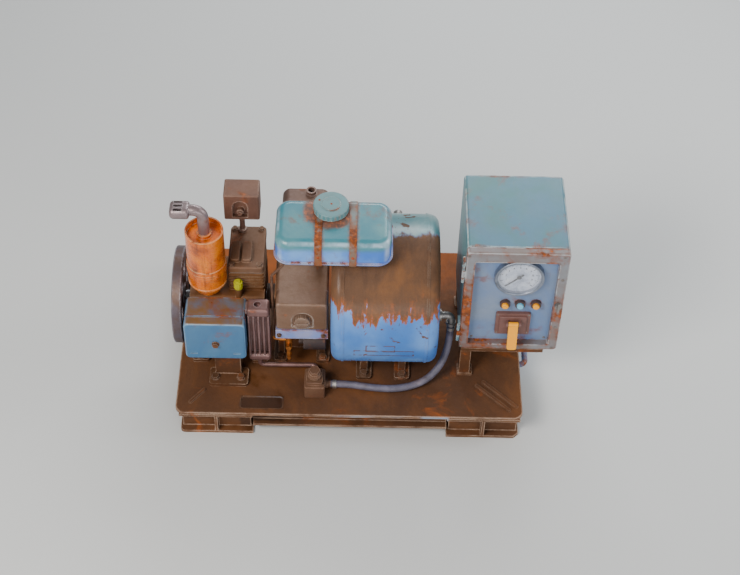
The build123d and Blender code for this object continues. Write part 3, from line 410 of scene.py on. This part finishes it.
def drum_paint():
    """Sky blue low on the front, bare brown rust over the crown, and teal left at the back."""
    f = Finish("drum_paint")
    seed = 5.0
    y = f.axis("Y")
    z = f.axis("Z")
    ragged = f.noise(17, 8, 0.66, 0.9, f.stretch(1, 1, 0.6), seed)
    drips = f.noise(1.0, 5, 0.6, 0.4, f.stretch(64, 9, 9), seed + 1)
    wave = f.plus(f.times(ragged, WANDER), f.times(drips, DRIPS))
    level = f.minus(f.plus(BLUE_UP_TO - (WANDER + DRIPS) / 2, wave), z)
    blue_share = f.step(level, -0.004, 0.006)
    back = f.minus(f.plus(y, f.times(wave, 0.5)), TEAL_BEHIND)
    teal_share = f.step(back, 0.0, 0.022)
    paint = f.mix(f.step(f.noise(6, 4, 0.5, 0.3, None, seed + 2), 0.35, 0.65), BLUE, BLUE_FADED)
    teal = f.mix(f.step(f.noise(8, 5, 0.6, 0.4, None, seed + 3), 0.4, 0.7), TEAL_FADED, colour(150, 168, 164))
    crust = f.noise(13, 8, 0.6, 0.5, f.stretch(1.6, 1, 1), seed + 4)
    bare = f.ramp(crust, (0.28, colour(74, 52, 37)), (0.5, colour(96, 68, 48)), (0.68, colour(118, 80, 52)),
                  (0.84, colour(112, 90, 70)))
    plate = f.larger(outline(f, NAMEPLATE_OUTER, 0.0022), outline(f, NAMEPLATE_INNER, 0.0018))
    any_paint = f.larger(blue_share, teal_share)
    top_coat = f.mix(teal_share, paint, teal)
    chips = f.step(f.noise(24, 9, 0.68, 0.8, None, seed + 5), 0.60, 0.625)
    any_paint = f.times(any_paint, f.flip(chips))
    front = f.step(f.minus(NAMEPLATE_BEFORE, y), 0.0, 0.01)
    worn_plate = f.times(f.times(plate, front), f.step(f.noise(60, 4), 0.38, 0.5))
    any_paint = f.times(any_paint, f.flip(worn_plate))
    rim = f.step(level, -0.034, 0.03)
    rim = f.times(rim, f.flip(f.step(level, 0.0, 0.03)))
    warm = f.mix(f.times(rim, 0.8), bare, RUST_ORANGE)
    tone = f.mix(any_paint, warm, top_coat)
    rub = f.times(f.edges(0.004), f.step(f.noise(30, 5, 0.6, 0.2, None, seed + 6), 0.4, 0.6))
    tone = f.mix(f.times(rub, 0.28), tone, colour(168, 150, 132))
    scab = f.noise(210, 6, 0.7, 0.2, None, seed + 7)
    rough = f.mix(any_paint, f.span(scab, 0.66, 0.9), f.span(scab, 0.30, 0.5))
    normal = f.bump(f.times(scab, f.flip(any_paint)), 0.7, 0.0013)
    normal = f.bump(any_paint, 0.55, 0.0007, normal)
    normal = f.bump(f.noise(13, 3, 0.5, 0.3, None, seed + 8), 0.12, 0.005, normal)
    return f.finish(tone, rough, normal, None, 0.2)


PLATE_LOW, PLATE_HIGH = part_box("base_plate")
PLATE_TOP = 0.085
RIM_WIDE = 0.012
RAIL_BLUE_HALF = 0.262
RAIL_BLUE_FROM = (0.046, 0.056)
DECK_RECESS = (-0.282, -0.173, -0.271, -0.233)


def inside(f, limits):
    """1 inside a rectangle in X and Y, with a ragged border."""
    left, right, front, back = limits
    off = f.larger(outside(f, "X", left, right), outside(f, "Y", front, back))
    off = f.plus(off, f.times(f.noise(60, 5), 0.02))
    return f.flip(f.step(off, 0.006, 0.016))


def deck_paint():
    """The skid: dark brown with orange bloom, oily patches, rubbed edges and blue left on its long sides."""
    f = Finish("skid_paint")
    seed = 21.0
    cloud = f.noise(4.2, 8, 0.64, 0.7, None, seed)
    tone = f.ramp(cloud, (0.30, colour(68, 46, 32)), (0.46, colour(90, 60, 40)), (0.58, colour(114, 74, 46)),
                  (0.74, colour(164, 98, 54)))
    speck = f.noise(95, 7, 0.7, 0.3, None, seed + 1)
    tone = f.mix(f.span(speck, 0.0, 0.4), tone, colour(72, 46, 30))
    bloom = f.step(f.noise(11, 8, 0.62, 0.6, None, seed + 2), 0.57, 0.74)
    tone = f.mix(f.times(bloom, 0.55), tone, RUST_ORANGE)
    rear = f.times(f.step(f.axis("Y"), -0.02, 0.24), f.step(f.noise(7, 6), 0.34, 0.60))
    tone = f.mix(f.times(rear, 0.42), tone, RUST_ORANGE)
    oil = f.step(f.noise(3.4, 5, 0.6, 0.8, None, seed + 3), 0.56, 0.68)
    oil = f.times(oil, f.up_facing())
    tone = f.mix(f.times(oil, 0.45), tone, colour(50, 34, 24))
    side = f.flip(f.up_facing())
    blue_left = f.step(f.noise(6.5, 5, 0.6, 0.9, f.stretch(0.6, 1, 1), seed + 4), 0.45, 0.54)
    high = f.step(f.axis("Z"), *RAIL_BLUE_FROM)
    middle = f.step(f.minus(RAIL_BLUE_HALF, f.size_of(f.axis("X"))), 0.0, 0.01)
    left_paint = f.times(f.times(side, blue_left), f.times(high, middle))
    tone = f.mix(f.times(left_paint, 0.8), tone, colour(130, 158, 184))
    # Darker inside the recess rectangle, with a ragged border.
    tone = f.mix(f.times(inside(f, DECK_RECESS), 0.7), tone, colour(44, 30, 22))
    outer_x = outside(f, "X", PLATE_LOW[0] + RIM_WIDE, PLATE_HIGH[0] - RIM_WIDE)
    outer_y = outside(f, "Y", PLATE_LOW[1] + RIM_WIDE, PLATE_HIGH[1] - RIM_WIDE)
    below = f.minus(PLATE_TOP - 0.003, f.axis("Z"))
    rim = f.step(f.larger(f.larger(outer_x, outer_y), below), 0.0, 0.0005)
    rub = f.times(f.edges(0.005), f.step(f.noise(22, 5, 0.6, 0.2, None, seed + 5), 0.28, 0.54))
    tone = f.mix(f.times(rub, f.span(rim, 0.16, 0.85)), tone, PALE_EDGE)
    rough = f.mix(oil, f.span(speck, 0.62, 0.9), f.span(speck, 0.22, 0.4))
    normal = f.bump(speck, 0.5, 0.0012)
    normal = f.bump(f.noise(18, 4, 0.6, 0.3, None, seed + 6), 0.25, 0.004, normal)
    return f.finish(tone, rough, normal, 0.12)


TANK_BLUE_BELOW = 0.545
TANK_SEAM = 0.506
CAP_STAIN = (0.082, 0.100)
STRAP_STAIN = (0.020, 0.032)
SEAM_STAIN = (0.008, 0.022)


def tank_paint():
    """Teal on top, brighter blue down the sides, with rust bled from the cap, the seam and the straps, and a
    painted highlight, partly worn paint, on its rounded folds.
    """
    f = Finish("tank_paint")
    seed = 33.0
    z = f.axis("Z")
    x = f.axis("X")
    y = f.axis("Y")
    uneven = f.times(f.noise(12, 4, 0.5, 0.3, None, seed), 0.018)
    low = f.minus(f.plus(TANK_BLUE_BELOW, uneven), z)
    crown = f.mix(f.step(f.noise(9, 5, 0.6, 0.4, None, seed + 1), 0.36, 0.66), TEAL, TEAL_FADED)
    side_cloud = f.step(f.noise(7, 4, 0.6, 0.4, None, seed + 2), 0.36, 0.64)
    side = f.mix(side_cloud, colour(70, 116, 196), colour(118, 160, 216))
    tone = f.mix(f.step(low, -0.006, 0.016), crown, side)
    wobble = f.times(f.noise(24, 7, 0.65, 0.6, None, seed + 3), 0.05)
    far_x = f.minus(x, CAP_AT[0])
    far_y = f.minus(y, CAP_AT[1])
    reach = f.math("SQRT", f.plus(f.times(far_x, far_x), f.times(far_y, far_y)))
    bled = f.flip(f.step(f.plus(reach, wobble), *CAP_STAIN))
    for strap in STRAP_X:
        off = f.size_of(f.minus(x, strap))
        near = f.flip(f.step(f.plus(off, f.times(wobble, 0.55)), *STRAP_STAIN))
        bled = f.larger(bled, f.times(near, 0.75))
    near_seam = f.size_of(f.minus(z, TANK_SEAM))
    seam = f.flip(f.step(f.plus(near_seam, f.times(wobble, 0.4)), *SEAM_STAIN))
    bled = f.larger(bled, f.times(seam, 0.3))
    tone = f.mix(f.times(bled, 0.82), tone, rust_tone(f, seed))
    # Painted highlight: pale blue-white on the rounded folds, with some worn paint as well.
    fold_highlight_and_wear = f.times(f.rounded(), f.step(f.noise(19, 5, 0.6, 0.3, None, seed + 8), 0.30, 0.62))
    tone = f.mix(f.times(f.times(fold_highlight_and_wear, f.flip(bled)), 0.55), tone,
                 colour(206, 222, 236))
    tone, rust = rust_layer(f, tone, seed + 9, 0.20, 0.004, colour(216, 206, 198), 0.2)
    mottle = f.noise(60, 5, 0.65, 0.2, None, seed + 5)
    any_rust = f.larger(rust, f.times(bled, 0.8))
    scab = f.noise(220, 6, 0.7, 0.2, None, seed + 6)
    rough = f.mix(any_rust, f.span(mottle, 0.24, 0.44), f.span(scab, 0.7, 0.92))
    normal = f.bump(f.times(scab, any_rust), 0.6, 0.0011)
    normal = f.bump(f.flip(rust), 0.5, 0.0006, normal)
    normal = f.bump(f.noise(14, 3, 0.5, 0.3, None, seed + 7), 0.14, 0.004, normal)
    return f.finish(tone, rough, normal, None, 0.35)


def canister_paint():
    """Glossy orange enamel with dark runs and some rust."""
    f = Finish("orange_enamel")
    seed = 47.0
    cloud = f.noise(14, 7, 0.62, 0.6, None, seed)
    tone = f.ramp(cloud, (0.30, colour(112, 54, 14)), (0.46, colour(196, 100, 10)), (0.68,
                                                                                     colour(228, 134, 22)))
    runs = f.step(f.streaks(seed), 0.52, 0.70)
    tone = f.mix(f.times(runs, 0.6), tone, colour(96, 48, 22))
    tone, rust = rust_layer(f, tone, seed, 0.30, 0.003, colour(226, 190, 150), 0.4)
    speck = f.noise(160, 5, 0.65, 0.2, None, seed + 2)
    rough = f.mix(rust, f.span(speck, 0.18, 0.38), f.span(speck, 0.65, 0.9))
    normal = f.bump(f.times(speck, rust), 0.6, 0.001)
    normal = f.bump(f.noise(22, 3, 0.5, 0.3, None, seed + 3), 0.12, 0.003, normal)
    return f.finish(tone, rough, normal, None, 0.3)


def brown_rings(f, tone):
    """Painted shade: dark brown on the button rings, which stand out from the panel."""
    proud = f.step(f.minus(PANEL_FACE, f.axis("Y")), 0.0004, 0.0008)
    # Dark brown on the proud ring bodies stands in for the shade around the buttons.
    return f.mix(proud, tone, colour(74, 56, 52))


TAP_LINE_FROM = (0.210, 0.216)


def tap_metal():
    """Copper-brown tap, with a dark line above it up to the tank."""
    f = Finish("tap_metal")
    film = f.noise(60, 6, 0.65, 0.4, None, 157.0)
    copper = f.mix(f.step(film, 0.38, 0.7), colour(204, 136, 84), colour(120, 78, 50))
    line = f.mix(f.step(film, 0.38, 0.7), colour(96, 70, 54), colour(66, 48, 40))
    above = f.step(f.axis("Z"), *TAP_LINE_FROM)
    shine = f.span(above, 0.85, 0.0)
    return f.finish(f.mix(above, copper, line), f.span(film, 0.34, 0.6), f.bump(film, 0.2, 0.0006), shine)


def glass():
    f = Finish("gauge_glass")
    smear = f.noise(45, 5, 0.6, 0.5, None, 3.0)
    f.shader.inputs["Alpha"].default_value = 0.10
    return f.finish((0.95, 0.97, 1.0, 1), f.span(smear, 0.03, 0.16), f.bump(smear, 0.03, 0.0003), None)


def dial_card():
    f = Finish("dial_card")
    stain = f.noise(34, 7, 0.65, 0.6, None, 8.0)
    tone = f.ramp(stain, (0.32, colour(140, 148, 166)), (0.52, colour(190, 196, 210)), (0.72,
                                                                                        colour(214, 216, 222)))
    return f.finish(tone, f.span(stain, 0.4, 0.6), f.bump(stain, 0.08, 0.0004), None)


def rubber_hose():
    """Grey-violet rubber with a fine grain and dust on top."""
    f = Finish("hose_rubber")
    seed = 61.0
    cloud = f.noise(18, 6, 0.62, 0.4, None, seed)
    tone = f.ramp(cloud, (0.30, colour(64, 60, 68)), (0.52, colour(98, 94, 106)), (0.75,
                                                                                   colour(132, 126, 138)))
    dust = f.times(f.up_facing(), f.step(f.noise(11, 6, 0.6, 0.4, None, seed + 1), 0.42, 0.7))
    tone = f.mix(f.times(dust, 0.4), tone, colour(122, 92, 66))
    speck = f.noise(420, 4, 0.65, 0.2, None, seed + 2)
    return f.finish(tone, f.span(cloud, 0.42, 0.66), f.bump(speck, 0.3, 0.0006), None)


# ------------------------------------------------------------------ which node gets which finish

PANEL_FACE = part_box("gauge_case")[1][1]
CAP_LOW, CAP_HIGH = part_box("fuel_cap")
CAP_AT = ((CAP_LOW[0] + CAP_HIGH[0]) / 2, (CAP_LOW[1] + CAP_HIGH[1]) / 2)
STRAP_X = (-0.082, 0.003)


def coat(names, material):
    for name in names.split():
        mesh = nodes[name].data
        mesh.materials.clear()
        mesh.materials.append(material)


def dress_nodes():
    deck = deck_paint()
    coat("base_plate skid_frame", deck)
    feet = weathered("feet_steel", colour(104, 68, 44), colour(82, 56, 40), 71.0, PALE_EDGE, 0.004,
                     orange=0.5)
    coat("machine_feet cabinet_stand receiver_saddles", feet)
    coat("end_handle", painted("handle_paint", colour(92, 126, 166), colour(130, 152, 176), 73.0, 0.35))
    coat("receiver", drum_paint())
    coat("fuel_tank", tank_paint())
    coat("fuel_cap", painted("cap_paint", colour(82, 132, 138), colour(104, 144, 148), 79.0, 0.12, 0.003,
                             colour(172, 196, 194), dust_share=0.15))
    coat("tank_mounting", painted("strap_paint", colour(104, 140, 146), colour(126, 84, 52), 83.0, 0.62,
                                  0.005,
                                  colour(150, 90, 50), streak=0.7))
    # The cabinet and the door frame get pale rounded edges: worn paint and a painted highlight.
    coat("cabinet_body", painted("cabinet_paint", colour(68, 120, 122), colour(76, 120, 142), 87.0, 0.26,
                                 0.007,
                                 colour(214, 222, 218), dust_share=0.12, streak=0.2, round_wear_and_highlight=0.75))
    coat("door_frame", painted("door_paint", colour(134, 140, 146), colour(120, 104, 98), 91.0, 0.50, 0.005,
                               colour(210, 214, 214), streak=0.6, round_wear_and_highlight=0.6))
    # The button rings on this panel carry painted shade.
    coat("door_panel", painted("panel_paint", colour(104, 128, 168), colour(132, 144, 162), 95.0, 0.20, 0.002,
                               colour(164, 172, 182), gloss=0.42, streak=0.4, over=brown_rings))
    # The head gets pale rounded edges too: worn paint and a painted highlight.
    coat("front_cylinder front_head", painted(
        "head_paint", colour(64, 104, 142), colour(84, 122, 152), 99.0, 0.26, 0.004, colour(142, 176, 200),
        dust=colour(116, 86, 50), dust_share=0.96, dust_cut=(0.26, 0.56), round_wear_and_highlight=0.6))
    coat("shelf_bracket", painted("shelf_paint", colour(112, 140, 200), colour(164, 158, 182), 103.0, 0.35,
                                  0.004,
                                  colour(214, 210, 222), dust_share=0.3))
    casting = weathered("brown_casting", colour(98, 68, 46), colour(122, 80, 50), 107.0,
                        colour(172, 142, 116), 0.004,
                        orange=0.25)
    coat("compressor_case top_cylinder engine_case engine_cylinder engine_head carburettor", casting)
    coat("top_head", weathered("head_casting", colour(110, 76, 52), colour(126, 100, 84), 109.0,
                               colour(184, 156, 134), orange=0.3))
    coat("pressure_switch", weathered("switch_casing", colour(122, 90, 76), colour(104, 78, 68), 113.0,
                                      colour(200, 176, 160), 0.005, (0.42, 0.7)))
    coat("delivery_block", weathered("block_casting", colour(100, 70, 54), colour(118, 88, 70), 117.0,
                                     colour(178, 148, 128)))
    coat("starter_motor", weathered("starter_paint", colour(52, 44, 46), colour(70, 58, 54), 121.0,
                                    colour(150, 140, 140)))
    coat("muffler", weathered("muffler_steel", colour(128, 108, 102), colour(108, 82, 68), 127.0,
                              colour(176, 156, 148), 0.004, (0.4, 0.7), 0.4))
    coat("aftercooler", weathered("fin_metal", colour(150, 118, 116), colour(116, 90, 86), 131.0,
                                  colour(214, 196, 194), 0.0025, (0.32, 0.55), 0.55, orange=0.1))
    coat("air_cleaner_cover", weathered("cleaner_metal", colour(140, 114, 98), colour(118, 90, 72), 137.0,
                                        colour(220, 208, 198), 0.006, (0.34, 0.6), 0.35, orange=0.15))
    coat("cover_knob", weathered("knob_metal", colour(150, 128, 112), colour(126, 102, 88), 139.0,
                                 colour(214, 198, 186), 0.002, (0.35, 0.55), 0.4, orange=0.1))
    coat("intake_silencer", canister_paint())
    coat("snorkel", weathered("snorkel_metal", colour(158, 142, 142), colour(126, 112, 112), 141.0,
                              colour(224, 216, 216), 0.003, (0.28, 0.5), 0.6, orange=0.05, dust_share=0.1))
    coat("receiver_fittings door_latch", turned("fitting_metal", colour(150, 146, 142), 143.0, 0.35, 0.9))
    coat("flywheel", weathered("flywheel_metal", colour(104, 102, 114), colour(98, 74, 60), 149.0,
                               colour(184, 182, 190), 0.004, (0.35, 0.6), 0.5))
    running_gear = "crankshaft engine_crankshaft front_rod top_rod engine_rod pistons main_bearings valve_plates"
    coat(running_gear, turned("machined_steel", colour(168, 168, 170), 151.0))
    coat("shaft_coupling", weathered("coupling_steel", colour(96, 78, 68), colour(74, 60, 54), 153.0,
                                     colour(160, 150, 142)))
    coat("fuel_tap tap_lever", tap_metal())
    coat("filter_element", moulded("filter_paper", colour(176, 152, 104), 161.0, 0.8))
    coat("fasteners", weathered("bolt_steel", colour(120, 92, 74), colour(98, 70, 52), 163.0,
                                colour(196, 176, 160),
                                0.0015, (0.4, 0.7), 0.5, orange=0.4))
    coat("gauge_case", turned("bezel_metal", colour(150, 156, 168), 167.0, 0.26, 0.95))
    coat("gauge_dial", dial_card())
    coat("gauge_glass", glass())
    coat("gauge_needle", moulded("needle_black", colour(26, 24, 30), 169.0, 0.35, 0.1))
    coat("switch_box", moulded("switch_brown", colour(112, 82, 76), 173.0, 0.38, 0.4))
    coat("oil_cap", moulded("oil_cap_green", colour(168, 164, 52), 177.0, 0.45, 0.5))
    coat("button_left button_right switch_lever", moulded("signal_yellow", colour(255, 172, 0), 179.0, 0.34,
                                                          0.14))
    coat("button_mid", moulded("signal_blue", colour(128, 196, 224), 181.0, 0.3, 0.15))
    coat("control_gear", moulded("control_grey", colour(120, 120, 116), 183.0, 0.5, 0.25))


# ------------------------------------------------------------------ small pieces, made in mesh code

def turned_form(work, profile, place, sides=20):
    """Adds a closed turned form to a mesh in progress: (radius, height) pairs about the place's own Z."""
    rings = []
    for radius, height in profile:
        count = 1 if radius == 0 else sides
        turns = [2 * math.pi * i / sides for i in range(count)]
        rings.append([work.verts.new(place @ Vector((radius * math.cos(t), radius * math.sin(t), height)))
                      for t in turns])
    for low, high in zip(rings, rings[1:]):
        for i in range(sides):
            ring = [low[i % len(low)], low[(i + 1) % len(low)], high[(i + 1) % len(high)],
                    high[i % len(high)]]
            work.faces.new(list(dict.fromkeys(ring)))


def slab(work, size, place):
    """Adds a box with eased edges to a mesh in progress."""
    made = bmesh.ops.create_cube(work, size=1.0, matrix=place @ Matrix.Diagonal((*size, 1)))
    edges = {e for v in made["verts"] for e in v.link_edges}
    bmesh.ops.bevel(work, geom=list(edges), offset=0.14 * min(size), segments=2, affect="EDGES")


def facing(at, way):
    """A place at a point whose own +Z looks along a direction."""
    return Matrix.Translation(Vector(at)) @ Vector(way).to_track_quat("Z", "Y").to_matrix().to_4x4()


def piece(name, work, body, material, smooth=True):
    mesh = bpy.data.meshes.new(name)
    bmesh.ops.recalc_face_normals(work, faces=work.faces[:])
    work.to_mesh(mesh)
    work.free()
    for face in mesh.polygons:
        face.use_smooth = smooth
    if smooth:
        mesh.set_sharp_from_angle(angle=math.radians(35))
    mesh.materials.append(material)
    made = bpy.data.objects.new(name, mesh)
    bpy.context.collection.objects.link(made)
    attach(made, body)
    return made


def screws(name, places, way, radius, body, material, sides=20):
    """Low domed heads on thin washers, all facing one way."""
    work = bmesh.new()
    dome = [(0, 0.62), (0.45, 0.56), (0.80, 0.40), (0.95, 0.20), (0.95, 0.16), (1.3, 0.14), (1.3, -0.05), (0,
                                                                                                           -0.05)]
    for at in places:
        turned_form(work, [(r * radius, h * radius) for r, h in dome], facing(at, way), sides)
    return piece(name, work, body, material)


def corners_of(node, in_x, in_z, y):
    """Four places at one depth, near the corners of a node's front."""
    low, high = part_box(node)
    return [(x, y, z) for x in (low[0] + in_x, high[0] - in_x) for z in (low[2] + in_z, high[2] - in_z)]


SWITCH_FLANGE_BACK = 0.0222


def cabinet_details():
    steel = turned("screw_steel", colour(140, 132, 126), 191.0, 0.4, 0.85)
    low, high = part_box("door_frame")
    middle_z = (low[2] + high[2]) / 2
    places = corners_of("door_frame", 0.014, 0.010, low[1])
    places += [(high[0] - 0.012, low[1], middle_z + lift) for lift in (-0.09, 0.09)]
    screws("door_screws", places, (0, -1, 0), 0.0032, "door", steel)
    places = corners_of("door_panel", 0.010, 0.010, PANEL_FACE)
    screws("panel_screws", places, (0, -1, 0), 0.0028, "door", steel)
    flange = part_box("switch_box")[0][1] + SWITCH_FLANGE_BACK
    places = corners_of("switch_box", 0.005, 0.005, flange)
    screws("switch_screws", places, (0, -1, 0), 0.0020, "door", steel)


DIAL_SWEEP = 270
DIAL_START = 225
DIAL_NUMBERS = 10
DIAL_STEPS = 5

# Sizes on the dial, as shares of its radius, and the ink's height and thickness in metres.
LONG_MARK = (0.17, 0.030)
SHORT_MARK = (0.09, 0.014)
MARKS_REACH = 0.93
NUMBERS_REACH = 0.62
NUMBER_SIZE = 0.19
INK_LIFT = 0.00005
INK_THICK = 0.0003


def dial_marks():
    """Scale lines and the numbers 0 to 10 on the gauge's dial."""
    low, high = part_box("gauge_dial")
    centre = ((low[0] + high[0]) / 2, low[1], (low[2] + high[2]) / 2)
    radius = (high[0] - low[0]) / 2
    face = Matrix.Translation(Vector(centre)) @ Matrix.Rotation(math.radians(90), 4, "X")
    work = bmesh.new()
    count = DIAL_NUMBERS * DIAL_STEPS
    for i in range(count + 1):
        turn = math.radians(DIAL_START - DIAL_SWEEP * i / count)
        long, wide = LONG_MARK if i % DIAL_STEPS == 0 else SHORT_MARK
        out = Matrix.Translation(((MARKS_REACH - long / 2) * radius, 0, INK_LIFT))
        size = Matrix.Diagonal((long * radius, wide * radius, INK_THICK, 1))
        bmesh.ops.create_cube(work, size=1.0, matrix=face @ Matrix.Rotation(turn, 4, "Z") @ out @ size)
    for number in range(DIAL_NUMBERS + 1):
        turn = math.radians(DIAL_START - DIAL_SWEEP * number / DIAL_NUMBERS)
        text = bpy.data.curves.new("number", "FONT")
        text.body = str(number)
        text.size = NUMBER_SIZE * radius
        text.align_x = "CENTER"
        text.align_y = "CENTER"
        text.extrude = INK_THICK / 2
        holder = bpy.data.objects.new("number", text)
        flat = bpy.data.meshes.new_from_object(holder)
        reach = NUMBERS_REACH * radius
        place = face @ Matrix.Translation((reach * math.cos(turn), reach * math.sin(turn), INK_LIFT))
        flat.transform(place)
        work.from_mesh(flat)
        bpy.data.objects.remove(holder)
        bpy.data.meshes.remove(flat)
        bpy.data.curves.remove(text)
    piece("dial_marks", work, "door", moulded("dial_ink", colour(40, 40, 50), 193.0, 0.5, 0.1),
          False)


CAP_RIVETS = [(0.001, -0.002, 0), (-0.029, 0.013, -0.0025)]
STRAP_SCREW_Z = 0.528


def tank_details():
    rust = weathered("rivet_rust", colour(176, 84, 58), colour(138, 74, 46), 197.0, colour(196, 130, 100),
                     0.001)
    places = [(CAP_AT[0] + x, CAP_AT[1] + y, CAP_HIGH[2] + z) for x, y, z in CAP_RIVETS]
    screws("cap_rivets", places, (0, 0, 1), 0.0021, "fuel_cap", rust)
    places = [(x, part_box("fuel_tank")[0][1] + 0.0015, STRAP_SCREW_Z) for x in STRAP_X]
    screws("strap_screws", places, (0, -1, 0.05), 0.0036, "skid", rust, 6)


def clamp(name, at, way, radius, wide, material):
    """A worm-drive hose clamp: a band, its screw housing and the screw."""
    work = bmesh.new()
    place = facing(at, way)
    thick = 0.0009
    half = wide / 2
    band = [(radius, -half), (radius + thick, -half), (radius + thick, half), (radius, half), (radius, -half)]
    turned_form(work, band, place, 40)
    slab(work, (0.012, 0.009, wide * 1.15), place @ Matrix.Translation((0, -radius - 0.004, 0)))
    turned_form(work, [(0, 0), (0.0034, 0), (0.0034, 0.005), (0.0026, 0.006), (0, 0.006)],
                place @ Matrix.Translation((0.006, -radius - 0.004, 0)) @ Matrix.Rotation(math.radians(90),
                                                                                          4, "Y"), 12)
    return piece(name, work, "skid", material)


HOSE_CLAMP_WIDE = 0.010
SILENCER_CLAMP_WIDE = 0.009
SILENCER_CLAMP_Z = 0.412


def hose_clamps():
    steel = turned("clamp_steel", colour(176, 170, 164), 211.0, 0.34, 0.9)
    start, after = Vector(HOSE_ROUTE[0]), Vector(HOSE_ROUTE[1])
    ahead = (after - start).normalized()
    radius = HOSE_DIAMETER / 2 + 0.0003
    first = clamp("hose_clamp_front", start + 0.010 * ahead, ahead, radius, HOSE_CLAMP_WIDE, steel)
    top, before = Vector(HOSE_ROUTE[-1]), Vector(HOSE_ROUTE[-2])
    up = (top - before).normalized()
    last = clamp("hose_clamp_top", top - 0.012 * up, up, radius, HOSE_CLAMP_WIDE, steel)
    return [first, last]


def silencer_clamp():
    low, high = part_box("intake_silencer")
    middle = ((low[0] + high[0]) / 2, (low[1] + high[1]) / 2, SILENCER_CLAMP_Z)
    enamel = nodes["intake_silencer"].data.materials[0]
    radius = (high[0] - low[0]) / 2
    clamp("silencer_clamp", middle, (0, 0, 1), radius, SILENCER_CLAMP_WIDE, enamel)


# ------------------------------------------------------------------ the delivery hose

HOSE_ROUTE = [
    (-0.050, -0.196, 0.097),
    (-0.002, -0.196, 0.097),
    (0.051, -0.206, 0.097),
    (0.104, -0.210, 0.097),
    (0.154, -0.202, 0.097),
    (0.200, -0.183, 0.103),
    (0.234, -0.156, 0.125),
    (0.252, -0.130, 0.160),
    (0.258, -0.112, 0.204),
    (0.258, -0.112, 0.248),
]
HOSE_DIAMETER = 0.019


def delivery_hose():
    data = bpy.data.curves.new("delivery_hose_rubber", "CURVE")
    data.dimensions = "3D"
    line = data.splines.new("NURBS")
    line.points.add(len(HOSE_ROUTE) - 1)
    for point, place in zip(line.points, HOSE_ROUTE):
        point.co = (*place, 1)
    line.order_u = 3
    line.use_endpoint_u = True
    line.resolution_u = 16
    data.bevel_depth = HOSE_DIAMETER / 2
    data.bevel_resolution = 8
    data.materials.append(rubber_hose())
    hose = bpy.data.objects.new("delivery_hose_rubber", data)
    bpy.context.collection.objects.link(hose)
    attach(hose, "skid")
    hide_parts("delivery_hose")
    hose_clamps()


camera()
dress_nodes()
delivery_hose()
silencer_clamp()
studio()
cabinet_details()
dial_marks()
tank_details()
